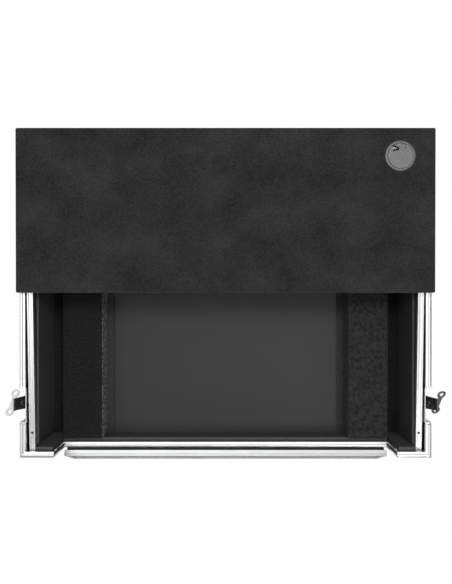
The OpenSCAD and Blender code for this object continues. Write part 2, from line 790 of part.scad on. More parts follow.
// Butterfly latches in recessed dishes. Each is drawn upright at its hinge pin, with +X
// outwards, then leaned out as it hangs when it is open.
module latch_dish() {
    color(c_steel) translate([0, latch_y, 0]) difference() {
        union() {
            box([recess_back - sheet_t, -recess_w / 2 - sheet_t, dish_bottom - sheet_t],
                [wall_out + eps, recess_w / 2 + sheet_t, dish_top]);
            box([wall_out, -dish_w / 2 + 0.3, dish_bottom - 11], [wall_out + sheet_t,
                dish_w / 2 - 0.3, dish_top]);
            // tabs over the top of the plywood
            box([ext_in, -dish_w / 2 + 0.3, wall_top], [wall_out + eps, dish_w / 2 - 0.3,
                wall_top + sheet_t]);
        }
        box([recess_back, -recess_w / 2, dish_bottom], [half_w + 1, recess_w / 2, rim_z + 1]);
    }
}
module latch_pin() {
    translate([latch_pin_x, latch_y, latch_pin_z]) rod_y(latch_pin_r, -recess_w / 2, recess_w / 2);
}
module latch_pins() {
    color(c_steel) both_sides() latch_pin();
}
module at_latch() {
    translate([latch_pin_x, latch_y, latch_pin_z]) rotate([0, latch_lean, 0]) children();
}
plate_u = 1.5;
plate_t = 2;
hook_u = plate_u + plate_t + 0.2;
hook_t = 2;
hook_half = latch_w / 2 - latch_taper + 0.5;
disc_bore_r = 4;
module latch_plate() {
    color(c_black) at_latch() difference() {
        union() {
            translate([plate_u, 0, 0]) rotate([90, 0, 90]) linear_extrude(height = plate_t)
                polygon([[-latch_w / 2, 0], [latch_w / 2, 0],
                         [latch_w / 2 - latch_taper, latch_plate_h],
                         [latch_taper - latch_w / 2, latch_plate_h]]);
            rod_y(barrel_r, -latch_w / 2, latch_w / 2);
        }
        rod_y(latch_pin_r + run_gap, -latch_w, latch_w);
        translate([0, 0, disc_v]) rod_x(disc_bore_r + run_gap, 0, 10);
    }
}
module latch_hook() {
    color(c_steel) at_latch() difference() {
        union() {
            box([hook_u, -hook_half, 12], [hook_u + hook_t, hook_half, hook_top]);
            box([0.5, -hook_half, hook_top - hook_t], [hook_u + hook_t, hook_half, hook_top]);
        }
        box([0, -disc_r - 0.4, disc_v - disc_r - 0.5],
            [hook_u + hook_t + 1, disc_r + 0.4, disc_v + disc_r + hook_travel + 0.5]);
    }
}
flange_u = hook_u + hook_t + 0.4;
lug_in = 5.5;
lug_out = 8.5;
module at_disc(turn) {
    at_latch() translate([0, 0, disc_v]) rotate([turn, 0, 0]) children();
}
module latch_disc(turn) {
    color(c_steel) at_disc(turn) difference() {
        union() {
            rod_x(disc_bore_r + 2, 0, plate_u - 0.2);
            rod_x(disc_bore_r, 0.5, hook_u + 1);
            rod_x(disc_r, hook_u, flange_u + eps);
            rod_x(disc_r + 2, flange_u, flange_u + 1.6);
            for (s = [-1, 1]) translate([flange_u, s * (lug_in + lug_out) / 2 - (lug_out - lug_in) / 2, -2.6])
                cube([wing_u + 2.4 - flange_u, lug_out - lug_in, 5.2]);
        }
        translate([wing_u, 0, 0]) rod_y(wing_pin_r + run_gap, -20, 20);
    }
}
wing_t = 1.6;
wing_top = 34;
lobe_r = 9;
lobe_bore_r = 4.2;
// Two round lobes with finger holes on a bridge, and a neck down to the pin.
module wing_outline() {
    neck = lug_in - 0.6;
    difference() {
        union() {
            translate([wing_u, -neck]) square([wing_top - lobe_r - wing_u, 2 * neck]);
            translate([wing_top - lobe_r - 5, lobe_r - wing_half]) square([9, 2 * (wing_half - lobe_r)]);
            for (s = [-1, 1]) translate([wing_top - lobe_r, s * (wing_half - lobe_r)]) circle(r = lobe_r);
        }
        for (s = [-1, 1]) translate([wing_top - lobe_r, s * (wing_half - lobe_r)]) circle(r = lobe_bore_r);
    }
}
module latch_wing(turn) {
    color(c_steel) at_disc(turn) {
        translate([wing_u, 0, 0]) {
            rod_y(2, -lug_in + 0.3, lug_in - 0.3);
            rod_y(wing_pin_r, -lug_out, lug_out);
        }
        translate([0, 0, -wing_t / 2]) linear_extrude(height = wing_t) wing_outline();
    }
}

// Sprung side handles in recessed dishes.
module handle_dish() {
    color(c_steel) translate([0, handle_y, handle_z]) difference() {
        union() {
            box([handle_back - sheet_t, -handle_w / 2 - sheet_t, -handle_h / 2 - sheet_t],
                [wall_out + eps, handle_w / 2 + sheet_t, handle_h / 2 + sheet_t]);
            box([wall_out, -handle_w / 2 - handle_flange, -handle_h / 2 - handle_flange],
                [wall_out + sheet_t, handle_w / 2 + handle_flange, handle_h / 2 + handle_flange]);
        }
        box([handle_back, -handle_w / 2, -handle_h / 2], [half_w + 1, handle_w / 2, handle_h / 2]);
    }
}
module handle_bail() {
    color(c_steel) translate([handle_x, handle_y, 0]) difference() {
        union() {
            translate([0, 0, bar_z]) rod_y(bar_r, -bail_half - bar_r, bail_half + bar_r);
            for (s = [-1, 1]) translate([0, s * bail_half, 0]) {
                translate([0, 0, bar_z]) cylinder(r = bar_r, h = pivot_z - bar_z);
                translate([0, 0, pivot_z]) rod_y(grip_r, -5, 5);
            }
        }
        translate([0, 0, pivot_z]) rod_y(handle_pin_r + run_gap, -handle_w, handle_w);
    }
}
grip_half = bail_half - bar_r - 2;
module handle_grip() {
    color(c_black) translate([handle_x, handle_y, bar_z]) difference() {
        rod_y(grip_r, -grip_half, grip_half);
        rod_y(bar_r, -grip_half - 1, grip_half + 1);
    }
}
module handle_spring() {
    color(c_steel) translate([handle_x, handle_y, pivot_z]) {
        rod_y(handle_pin_r, -handle_w / 2, handle_w / 2);
        for (s = [-1, 1]) translate([0, s * (bail_half - 16), 0])
            rod_y(handle_pin_r + 1.6, -8, 8);
    }
}

base_board();
left() side_wall();  // side_wall_l
side_wall();  // side_wall_r
front_wall();
rear_wall();
left() rim_side();  // rim_l
rim_side();  // rim_r
rim_rear();
rim_front();
sill_edging();
jamb_trims();
jamb_seals();
inner_panels();
inner_rails();
spacer_battens();
side_linings();
front_lining();
rear_lining();
base_liner();
floor_panel();
left() foam_block();  // foam_block_l
foam_block();  // foam_block_r
foam_block_rear();
bottom_angles();
corner_angles();
ball_corners();
rubber_feet();
foot_screws();
case_rivets();
rail_screws();
port_bezel();
hinge_wall_leaf();
hinge_pin();
hinge_flap_leaf();
flap_board();
flap_edging();
platform_board();
platform_carpet();
platform_runners();
platform_screws();
grommet_liner();
grommet_shutter();
grommet_cap();
both_sides() latch_dish();  // latch_dishes
latch_pins();
left() latch_plate();  // latch_plate_l
latch_plate();  // latch_plate_r
left() latch_hook();  // latch_hook_l
latch_hook();  // latch_hook_r
left() latch_disc(-wing_turn);  // latch_disc_l
latch_disc(wing_turn);  // latch_disc_r
left() latch_wing(-wing_turn);  // latch_wing_l
latch_wing(wing_turn);  // latch_wing_r
both_sides() handle_dish();  // handle_dishes
left() handle_bail();  // handle_bail_l
handle_bail();  // handle_bail_r
left() handle_grip();  // handle_grip_l
handle_grip();  // handle_grip_r
both_sides() handle_spring();  // handle_springs
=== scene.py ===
import math
import bmesh
import bpy
import numpy as np
from mathutils import Matrix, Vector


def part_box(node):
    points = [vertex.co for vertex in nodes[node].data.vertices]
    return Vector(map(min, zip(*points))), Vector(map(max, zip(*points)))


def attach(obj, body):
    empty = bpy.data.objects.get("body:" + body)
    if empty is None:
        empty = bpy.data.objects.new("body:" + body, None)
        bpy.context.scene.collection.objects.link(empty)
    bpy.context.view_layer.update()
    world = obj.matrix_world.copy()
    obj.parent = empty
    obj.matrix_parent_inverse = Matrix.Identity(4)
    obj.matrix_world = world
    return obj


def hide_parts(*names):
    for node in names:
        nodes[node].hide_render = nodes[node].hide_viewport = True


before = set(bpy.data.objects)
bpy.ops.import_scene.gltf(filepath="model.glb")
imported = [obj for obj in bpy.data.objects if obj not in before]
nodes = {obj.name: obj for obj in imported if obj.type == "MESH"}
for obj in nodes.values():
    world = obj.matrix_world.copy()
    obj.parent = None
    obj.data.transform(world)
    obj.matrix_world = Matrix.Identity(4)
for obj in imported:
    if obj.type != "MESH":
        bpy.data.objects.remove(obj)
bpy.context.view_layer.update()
MM = 0.001


# Camera, floor and light: seen straight down from about 1.5 m above the rim, on a white
# sweep. Two soft boxes light the matt parts, and two panels that only shiny surfaces see
# give the metal its reflections.
rim_low, rim_high = (np.array(c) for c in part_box("rim_l"))
deck_low, deck_high = (np.array(c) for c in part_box("platform_carpet"))
rim_z = rim_high[2]
camera_height = 1475 * MM
camera_tilt = math.radians(0.6)
camera_aside, camera_behind = 0.9 * MM, 1.5 * MM
camera = bpy.data.objects.new("camera", bpy.data.cameras.new("camera"))
bpy.context.collection.objects.link(camera)
camera.location = (camera_aside, deck_low[1] + camera_behind, rim_z + camera_height)
camera.rotation_euler = (-camera_tilt, 0, 0)
camera.data.sensor_width = 36
camera.data.lens = 46.65
camera.data.shift_y = camera.data.lens / camera.data.sensor_width * math.tan(camera_tilt)
camera.data.clip_start = 0.05
camera.data.clip_end = 30
bpy.context.scene.camera = camera
bpy.context.scene.view_settings.view_transform = "Standard"


def seen_directly(tree):
    """Two sockets: 1 for rays from the camera or through glass, and 1 for rays off shiny surfaces."""
    path = tree.nodes.new("ShaderNodeLightPath")
    most = tree.nodes.new("ShaderNodeMath")
    most.operation = "MAXIMUM"
    tree.links.new(path.outputs["Is Camera Ray"], most.inputs[0])
    tree.links.new(path.outputs["Is Transmission Ray"], most.inputs[1])
    return most.outputs[0], path.outputs["Is Glossy Ray"]


world = bpy.data.worlds.new("sweep")
bpy.context.scene.world = world
world.use_nodes = True
tree = world.node_tree
tree.nodes.clear()
ambient = tree.nodes.new("ShaderNodeBackground")
ambient.inputs["Strength"].default_value = 0.34
room = tree.nodes.new("ShaderNodeBackground")
direction = tree.nodes.new("ShaderNodeTexCoord")
parts_of = tree.nodes.new("ShaderNodeSeparateXYZ")
rear_wall_of_room = tree.nodes.new("ShaderNodeMapRange")
rear_wall_of_room.inputs["From Min"].default_value = -0.6
rear_wall_of_room.inputs["From Max"].default_value = 0.6
rear_wall_of_room.inputs["To Min"].default_value = 0.22
rear_wall_of_room.inputs["To Max"].default_value = 0.85
right_side_of_room = tree.nodes.new("ShaderNodeMapRange")
right_side_of_room.inputs["From Min"].default_value = -0.3
right_side_of_room.inputs["From Max"].default_value = 0.4
right_side_of_room.inputs["To Min"].default_value = 1.15
right_side_of_room.inputs["To Max"].default_value = 0.2
both_ways = tree.nodes.new("ShaderNodeMath")
both_ways.operation = "MULTIPLY"
white = tree.nodes.new("ShaderNodeBackground")
seen, shiny = seen_directly(tree)
mix_glossy = tree.nodes.new("ShaderNodeMixShader")
mix_white = tree.nodes.new("ShaderNodeMixShader")
output = tree.nodes.new("ShaderNodeOutputWorld")
tree.links.new(direction.outputs["Generated"], parts_of.inputs[0])
tree.links.new(parts_of.outputs["Y"], rear_wall_of_room.inputs["Value"])
tree.links.new(parts_of.outputs["X"], right_side_of_room.inputs["Value"])
tree.links.new(rear_wall_of_room.outputs["Result"], both_ways.inputs[0])
tree.links.new(right_side_of_room.outputs["Result"], both_ways.inputs[1])
tree.links.new(both_ways.outputs[0], room.inputs["Strength"])
tree.links.new(shiny, mix_glossy.inputs[0])
tree.links.new(ambient.outputs[0], mix_glossy.inputs[1])
tree.links.new(room.outputs[0], mix_glossy.inputs[2])
tree.links.new(seen, mix_white.inputs[0])
tree.links.new(mix_glossy.outputs[0], mix_white.inputs[1])
tree.links.new(white.outputs[0], mix_white.inputs[2])
tree.links.new(mix_white.outputs[0], output.inputs[0])
for background in (ambient, room, white):
    background.inputs["Color"].default_value = (1, 1, 1, 1)


def soft_light(name, place, size, turn, power):
    """A rectangular lamp of size (x, y) metres at place, turned by turn degrees about X and Y."""
    lamp = bpy.data.lights.new(name, "AREA")
    lamp.shape = "RECTANGLE"
    lamp.size, lamp.size_y = size
    lamp.energy = power
    holder = bpy.data.objects.new(name, lamp)
    holder.location = place
    holder.rotation_euler = (math.radians(turn[0]), math.radians(turn[1]), 0)
    bpy.context.collection.objects.link(holder)
    return holder


softbox = soft_light("softbox", (0.2, 0.68, 2.9), (1.35, 0.5), (-14, 4), 32.5)
front_box = soft_light("front_box", (0.5, -0.95, 2.8), (1.2, 0.5), (20, 9), 11)
ceiling = soft_light("ceiling_panel", (-0.25, 0.72, 2.95), (3.4, 2.8), (0, 0), 40)
front_card = soft_light("front_card", (0.9, -1.1, 2.4), (0.6, 0.4), (26, 16), 6.5)
softbox.visible_glossy = False
front_box.visible_glossy = False
ceiling.visible_diffuse = False
front_card.visible_diffuse = False

sweep_mesh = bpy.data.meshes.new("floor")
reach = 6.0
corners = [(-reach, -reach, 0), (reach, -reach, 0), (reach, reach, 0), (-reach, reach, 0)]
sweep_mesh.from_pydata(corners, [], [(0, 1, 2, 3)])
floor = bpy.data.objects.new("floor", sweep_mesh)
bpy.context.collection.objects.link(floor)
paper = bpy.data.materials.new("white_paper")
paper.use_nodes = True
tree = paper.node_tree
shade = tree.nodes["Principled BSDF"]
shade.inputs["Base Color"].default_value = (0.86, 0.86, 0.86, 1)
shade.inputs["Roughness"].default_value = 0.9
shade.inputs["Specular IOR Level"].default_value = 0.1
glow = tree.nodes.new("ShaderNodeEmission")
glow.inputs["Color"].default_value = (1, 1, 1, 1)
glow.inputs["Strength"].default_value = 1.02
blend = tree.nodes.new("ShaderNodeMixShader")
part_seen = tree.nodes.new("ShaderNodeMath")
part_seen.operation = "MULTIPLY"
part_seen.inputs[1].default_value = 0.95
tree.links.new(seen_directly(tree)[0], part_seen.inputs[0])
tree.links.new(part_seen.outputs[0], blend.inputs[0])
tree.links.new(shade.outputs[0], blend.inputs[1])
tree.links.new(glow.outputs[0], blend.inputs[2])
tree.links.new(blend.outputs[0], tree.nodes["Material Output"].inputs[0])
sweep_mesh.materials.append(paper)


# Walls and base: 9.5 mm plywood faced with black laminate, lightly pebbled, screwed and
# glued at the corners. The edging covers every cut edge that shows.
def finish(name, colour, roughness, metal=0.0, **plain):
    """A material with one Principled shader. plain sets more sockets by name, _ being a space."""
    material = bpy.data.materials.new(name)
    material.use_nodes = True
    shader = material.node_tree.nodes["Principled BSDF"]
    shader.inputs["Base Color"].default_value = (*colour, 1)
    shader.inputs["Roughness"].default_value = roughness
    shader.inputs["Metallic"].default_value = metal
    for socket, value in plain.items():
        shader.inputs[socket.replace("_", " ")].default_value = value
    return material, material.node_tree, shader


def pattern(tree, scale, stretch=(1, 1, 1), detail=3.0, rough=0.55, source="Object"):
    """Noise from 0 to 1 whose grains are 1/scale metres, drawn out along each axis by 1/stretch."""
    place = tree.nodes.new("ShaderNodeTexCoord")
    mapping = tree.nodes.new("ShaderNodeMapping")
    mapping.inputs["Scale"].default_value = stretch
    noise = tree.nodes.new("ShaderNodeTexNoise")
    noise.inputs["Scale"].default_value = scale
    noise.inputs["Detail"].default_value = detail
    noise.inputs["Roughness"].default_value = rough
    tree.links.new(place.outputs[source], mapping.inputs["Vector"])
    tree.links.new(mapping.outputs[0], noise.inputs["Vector"])
    return noise.outputs["Fac"]


def spread(tree, value, low, high, start=0.3, end=0.7):
    """Maps value from the range start..end to low..high, held at both ends."""
    ramp = tree.nodes.new("ShaderNodeMapRange")
    ramp.inputs["From Min"].default_value = start
    ramp.inputs["From Max"].default_value = end
    ramp.inputs["To Min"].default_value = low
    ramp.inputs["To Max"].default_value = high
    tree.links.new(value, ramp.inputs["Value"])
    return ramp.outputs["Result"]


def tint(tree, shader, value, dark, light):
    """Base colour between dark and light by value."""
    mix = tree.nodes.new("ShaderNodeMix")
    mix.data_type = "RGBA"
    mix.inputs["A"].default_value = (*dark, 1)
    mix.inputs["B"].default_value = (*light, 1)
    tree.links.new(value, mix.inputs["Factor"])
    tree.links.new(mix.outputs["Result"], shader.inputs["Base Color"])


def relief(tree, shader, height, depth, strength=1.0, under=None):
    """Bump of the given depth in metres. under is an earlier bump that this one adds to."""
    bump = tree.nodes.new("ShaderNodeBump")
    bump.inputs["Distance"].default_value = depth
    bump.inputs["Strength"].default_value = strength
    tree.links.new(height, bump.inputs["Height"])
    if under is not None:
        tree.links.new(under, bump.inputs["Normal"])
    tree.links.new(bump.outputs[0], shader.inputs["Normal"])
    return bump.outputs[0]


def dress(names, material):
    """The CAD nodes keep their shape and take this material."""
    for name in names:
        nodes[name].data.materials.clear()
        nodes[name].data.materials.append(material)


laminate, tree, shader = finish("black_laminate", (0.028, 0.028, 0.030), 0.4,
                                Specular_IOR_Level=0.45)
pebble = pattern(tree, 620, detail=2.0)
relief(tree, shader, pebble, 0.00025, 0.5)
tree.links.new(spread(tree, pebble, 0.34, 0.5), shader.inputs["Roughness"])
tint(tree, shader, pattern(tree, 38, detail=5.0),
     (0.024, 0.024, 0.026), (0.034, 0.034, 0.036))
dress(["base_board", "side_wall_l", "side_wall_r", "front_wall", "rear_wall", "inner_panels",
       "spacer_battens"], laminate)


# Rim, front and sill edging: one extruded aluminium section, 11.5 mm wide, that wraps the
# plywood's edge. A tongue along its top fits the lid, and its corners are mitred.
def rounded_outline(corners, radii, steps=3):
    """Each corner becomes an arc. With h half the corner's angle, the arc of radius r starts
    r / tan(h) along each side, and its centre is r / sin(h) along the bisector."""
    at = np.array(corners, float)
    r = np.broadcast_to(np.array(radii, float), len(at))[:, None]
    back = np.roll(at, 1, axis=0) - at
    ahead = np.roll(at, -1, axis=0) - at
    back /= np.linalg.norm(back, axis=1)[:, None]
    ahead /= np.linalg.norm(ahead, axis=1)[:, None]
    half = np.arccos(np.clip((back * ahead).sum(1), -1, 1))[:, None] / 2
    middle = back + ahead
    middle /= np.linalg.norm(middle, axis=1)[:, None]
    centre = at + middle * r / np.sin(half)
    first = at + back * r / np.tan(half) - centre
    last = at + ahead * r / np.tan(half) - centre
    share = np.linspace(0, 1, steps + 1)[None, :, None]
    swing = (np.pi - 2 * half)[:, :, None]
    arc = np.sin((1 - share) * swing) * first[:, None] + np.sin(share * swing) * last[:, None]
    return (centre[:, None] + arc / np.sin(swing)).reshape(-1, 2)


def make_piece(name, points, faces, material, sharp=35, uv=None):
    """One mesh object at the origin, faces turned outwards. Edges over sharp degrees stay crisp."""
    mesh = bpy.data.meshes.new(name)
    corners = np.asarray(points).reshape(-1, 3).tolist()
    mesh.from_pydata(corners, [], [list(map(int, f)) for f in faces])
    if uv is not None:
        layer = mesh.uv_layers.new(name="along")
        corner = np.zeros(len(mesh.loops), int)
        mesh.loops.foreach_get("vertex_index", corner)
        layer.data.foreach_set("uv", np.asarray(uv, float).reshape(-1, 2)[corner].ravel())
    work = bmesh.new()
    work.from_mesh(mesh)
    bmesh.ops.recalc_face_normals(work, faces=work.faces)
    work.to_mesh(mesh)
    work.free()
    mesh.polygons.foreach_set("use_smooth", np.ones(len(mesh.polygons), bool))
    mesh.set_sharp_from_angle(angle=math.radians(sharp))
    mesh.materials.append(material)
    piece = bpy.data.objects.new(name, mesh)
    bpy.context.collection.objects.link(piece)
    return piece


def quads(rows, columns, first=0, around=True):
    """Faces of a grid of rows x columns points. With around, the last column joins the first."""
    i = np.arange(rows - 1)[:, None]
    j = np.arange(columns if around else columns - 1)[None, :]
    k = (j + 1) % columns
    a, b = i * columns + j, i * columns + k
    c, d = (i + 1) * columns + k, (i + 1) * columns + j
    return (np.stack([a, b, c, d], -1).reshape(-1, 4) + first).tolist()


def carried(rings):
    """A closed outline carried through rings (m, n, 3): quads between rings, one face on each end.
    Returns points, faces and a UV of metres along and metres round."""
    m, n = rings.shape[:2]
    faces = quads(m, n) + [list(range(n))[::-1], list(range((m - 1) * n, m * n))]
    along = np.concatenate([[0], np.linalg.norm(np.diff(rings[:, 0], axis=0), axis=1).cumsum()])
    round_ = np.concatenate([[0], np.linalg.norm(np.diff(rings[0], axis=0), axis=1).cumsum()])
    uv = np.stack(np.broadcast_arrays(along[:, None], round_[None, :]), -1)
    return rings.reshape(-1, 3), faces, uv.reshape(-1, 2)


def joined(parts):
    """Several (points, faces, uv) as one."""
    points, faces, uv, first = [], [], [], 0
    for p, f, t in parts:
        points.append(p)
        faces += [[v + first for v in face] for face in f]
        uv.append(t)
        first += len(p)
    return np.concatenate(points), faces, np.concatenate(uv)


leg = 1.25 * MM
ply = 9.5 * MM
web = 2.0 * MM
tongue_height = 3.0 * MM
inner_leg = 0.7 * MM
edge_width = leg + ply + inner_leg
tongue_out, tongue_in = 2.7 * MM, 6.7 * MM
outer_drop, inner_drop = 25 * MM, 13 * MM
edging_outline = rounded_outline(
    [(0, -outer_drop), (0, -tongue_height), (tongue_out, -tongue_height), (tongue_out, 0),
     (tongue_in, 0), (tongue_in, -tongue_height), (edge_width, -tongue_height),
     (edge_width, -inner_drop), (leg + ply, -inner_drop), (leg + ply, -tongue_height - web),
     (leg, -tongue_height - web), (leg, -outer_drop)],
    np.array([0.3, 1.1, 0.35, 0.9, 0.9, 0.35, 0.5, 0.3, 0.3, 0.2, 0.2, 0.3]) * MM)


def edging(origin, along, inward, length, mitre_start=0, mitre_end=0):
    """The edging's outline carried from origin along a direction. A mitre of 1 moves each point of
    that end by its own distance from the outer face."""
    origin, along, inward = (np.array(v, float) for v in (origin, along, inward))
    x, z = edging_outline[:, :1], edging_outline[:, 1:]
    section = origin + inward * x + np.array([0, 0, 1.0]) * z
    start = section + along * x * mitre_start
    end = section + along * (length - x * mitre_end)
    return carried(np.stack([start, end]))


aluminium, tree, shader = finish("extruded_aluminium", (0.90, 0.905, 0.91), 0.36, 1.0)
draw_lines = pattern(tree, 900, (0.02, 1, 1), detail=4.0, source="UV")
relief(tree, shader, draw_lines, 0.00006, 0.35)
tree.links.new(spread(tree, draw_lines, 0.28, 0.46), shader.inputs["Roughness"])
tint(tree, shader, pattern(tree, 60, (0.15, 1, 1), detail=6.0, source="UV"),
     (0.82, 0.825, 0.83), (0.93, 0.93, 0.935))

case_low, case_high = np.array([rim_low[0], rim_low[1]]), np.array([-rim_low[0], rim_high[1]])
dish_low, dish_high = (np.array(c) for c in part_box("latch_dishes"))
latch_y = (dish_low[1] + dish_high[1]) / 2
dish_play = 0.3 * MM
gap_half = (dish_high[1] - dish_low[1]) / 2 + dish_play
for side, sign, node in (("left", -1, "rim_l"), ("right", 1, "rim_r")):
    outer = sign * case_high[0]
    front = edging((outer, case_low[1], rim_z), (0, 1, 0), (-sign, 0, 0),
                   latch_y - gap_half - case_low[1], 1, 0)
    rear = edging((outer, latch_y + gap_half, rim_z), (0, 1, 0), (-sign, 0, 0),
                  case_high[1] - latch_y - gap_half, 0, 1)
    points, faces, uv = joined([front, rear])
    piece = make_piece("rim_edging_" + side, points, faces, aluminium, uv=uv)
    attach(piece, "case")
    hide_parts(node)

points, faces, uv = edging((case_low[0], case_high[1], rim_z), (1, 0, 0), (0, -1, 0),
                           case_high[0] - case_low[0], 1, 1)
piece = make_piece("rim_edging_rear", points, faces, aluminium, uv=uv)
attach(piece, "case")
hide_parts("rim_rear")

sill_high = np.array(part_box("sill_edging")[1])
opening = sill_high[0]
stub_length = case_high[0] - opening
points, faces, uv = joined([
    edging((case_low[0], case_low[1], rim_z), (1, 0, 0), (0, 1, 0), stub_length, 1, 0),
    edging((opening, case_low[1], rim_z), (1, 0, 0), (0, 1, 0), stub_length, 0, 1)])
piece = make_piece("rim_edging_front", points, faces, aluminium, uv=uv)
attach(piece, "case")
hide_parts("rim_front")

points, faces, uv = edging((-opening, case_low[1], sill_high[2]), (1, 0, 0), (0, 1, 0),
                           2 * opening)
piece = make_piece("sill_edging_profile", points, faces, aluminium, uv=uv)
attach(piece, "case")
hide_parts("sill_edging")


# Jambs: a grooved aluminium trim on each end of the front opening, with a soft black
# seal pressed in its groove. Bottom and corner angles: bright angle riveted over the edges.
def softened(names, material, body, name, width=0.4, segments=2, sharp=34):
    """Welded copies of CAD nodes as one piece, edges rounded by a bevel of width millimetres."""
    work = bmesh.new()
    for node in names:
        work.from_mesh(nodes[node].data)
    same_place = 0.002 * MM
    flat = math.radians(0.6)
    bmesh.ops.remove_doubles(work, verts=work.verts, dist=same_place)
    bmesh.ops.dissolve_limit(work, angle_limit=flat, verts=work.verts, edges=work.edges)
    mesh = bpy.data.meshes.new(name)
    work.to_mesh(mesh)
    work.free()
    mesh.polygons.foreach_set("use_smooth", np.ones(len(mesh.polygons), bool))
    mesh.set_sharp_from_angle(angle=math.radians(sharp))
    mesh.materials.clear()
    mesh.materials.append(material)
    piece = bpy.data.objects.new(name, mesh)
    bpy.context.collection.objects.link(piece)
    bevel = piece.modifiers.new("edges", "BEVEL")
    bevel.width = width * MM
    bevel.segments = segments
    bevel.limit_method = "ANGLE"
    bevel.angle_limit = math.radians(sharp)
    bevel.harden_normals = True
    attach(piece, body)
    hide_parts(*names)
    return piece


bright_sheet, tree, shader = finish("bright_aluminium", (0.88, 0.885, 0.89), 0.34, 1.0)
satin = pattern(tree, 700, (1, 1, 0.06), detail=4.0)
tree.links.new(spread(tree, satin, 0.27, 0.45), shader.inputs["Roughness"])
relief(tree, shader, satin, 0.00005, 0.3)
tint(tree, shader, pattern(tree, 45, detail=6.0), (0.80, 0.805, 0.81), (0.92, 0.925, 0.93))
softened(["jamb_trims"], bright_sheet, "case", "jamb_trim_pair", 0.35)
softened(["bottom_angles"], bright_sheet, "case", "bottom_angle_frame", 0.4)
softened(["corner_angles"], bright_sheet, "case", "corner_angle_set", 0.4)

soft_black, tree, shader = finish("black_rubber", (0.018, 0.018, 0.019), 0.72,
                                  Specular_IOR_Level=0.35)
rub = pattern(tree, 420, detail=4.0)
relief(tree, shader, rub, 0.00012, 0.4)
tint(tree, shader, pattern(tree, 55, detail=5.0),
     (0.014, 0.014, 0.015), (0.026, 0.026, 0.027))
softened(["jamb_seals"], soft_black, "case", "jamb_seal_pair", 0.9, 3)


# Inner rails: a two-ridged aluminium channel caps each inner side panel. Its top falls
# towards the front, and black screws sit in the valley between the ridges.
rails_low, rails_high = (np.array(c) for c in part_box("inner_rails"))
rail_out = rails_high[0]
ridge = 3.4 * MM
rail_width = 2 * leg + ply
rail_web = 1.5 * MM
ridge_height = 2.0 * MM
rail_fall = 17.5 * MM
rail_drop = 11.5 * MM
rail_top = rails_high[2]
rail_outline = rounded_outline(
    [(0, -rail_drop), (0, 0), (ridge, 0), (ridge, -ridge_height),
     (rail_width - ridge, -ridge_height), (rail_width - ridge, 0), (rail_width, 0),
     (rail_width, -rail_drop), (rail_width - leg, -rail_drop),
     (rail_width - leg, -ridge_height - rail_web), (leg, -ridge_height - rail_web),
     (leg, -rail_drop)],
    np.array([0.3, 0.7, 0.6, 0.5, 0.5, 0.6, 0.7, 0.3, 0.3, 0.2, 0.2, 0.3]) * MM, 4)
bend_y = deck_low[1]
stations = np.array([[rails_low[1], rail_top - rail_fall], [bend_y, rail_top],
                     [rails_high[1], rail_top]])
parts = []
for sign in (-1, 1):
    section = np.zeros((len(stations), len(rail_outline), 3))
    section[:, :, 0] = sign * (rail_out - rail_outline[:, 0])
    section[:, :, 1] = stations[:, :1]
    section[:, :, 2] = stations[:, 1:] + rail_outline[:, 1]
    parts.append(carried(section))
points, faces, uv = joined(parts)
piece = make_piece("inner_rail_pair", points, faces, aluminium, uv=uv)
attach(piece, "case")
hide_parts("inner_rails")


def islands(node):
    """Boxes (low, high) of a CAD node's separate solids. Points that share a place or a face join."""
    mesh = nodes[node].data
    at = np.zeros(len(mesh.vertices) * 3)
    mesh.vertices.foreach_get("co", at)
    at = at.reshape(-1, 3)
    _, place = np.unique(np.round(at, 7), axis=0, return_inverse=True)
    place = place.ravel()
    corners = np.zeros(len(mesh.loops), int)
    mesh.loops.foreach_get("vertex_index", corners)
    tri = place[corners].reshape(-1, 3)
    label = np.arange(place.max() + 1)
    while True:
        least = label[tri].min(1)
        fresh = label.copy()
        np.minimum.at(fresh, tri.ravel(), np.repeat(least, 3))
        fresh = fresh[fresh]
        if (fresh == label).all():
            break
        label = fresh
    owner = label[place]
    return [(at[owner == k].min(0), at[owner == k].max(0)) for k in np.unique(owner)]


def turned(profile, steps=32):
    """A profile of (radius, height) points turned about Z: point (i, j) is at angle
    2 pi j / steps, as rings (m, steps, 3)."""
    profile = np.array(profile, float)
    angle = np.linspace(0, 2 * np.pi, steps, endpoint=False)[None, :]
    r, z = profile[:, :1], profile[:, 1:]
    return np.stack(np.broadcast_arrays(r * np.cos(angle), r * np.sin(angle), z), -1)


def capped(rings):
    """Rings (m, n, 3) joined by quads, with the first and last closed by one face each."""
    m, n = rings.shape[:2]
    faces = quads(m, n) + [list(range(n))[::-1], list(range((m - 1) * n, m * n))]
    return rings.reshape(-1, 3), faces, np.zeros((m * n, 2))


def placed(part, centre, axis, sign):
    """A part made about +Z, moved to centre with +Z turned to an axis (0, 1 or 2) and by sign."""
    points, faces, uv = part
    order = {0: [2, 1, 0], 1: [0, 2, 1], 2: [0, 1, 2]}[axis]
    moved = points[:, order].copy()
    moved[:, axis] *= sign
    return moved + centre, faces, uv


zinc, tree, shader = finish("bright_zinc", (0.74, 0.75, 0.77), 0.26, 1.0)
cloud = pattern(tree, 90, detail=6.0)
tree.links.new(spread(tree, cloud, 0.24, 0.33), shader.inputs["Roughness"])
tint(tree, shader, pattern(tree, 240, detail=3.0), (0.66, 0.67, 0.69), (0.80, 0.81, 0.83))
relief(tree, shader, pattern(tree, 900, detail=2.0), 0.000012, 0.3)

dark_steel, tree, shader = finish("blackened_steel", (0.09, 0.09, 0.095), 0.38, 0.85)
wear = pattern(tree, 160, detail=6.0)
tree.links.new(spread(tree, wear, 0.28, 0.5), shader.inputs["Roughness"])
tint(tree, shader, wear, (0.06, 0.06, 0.063), (0.13, 0.13, 0.135))

slot_depth = 0.7 * MM


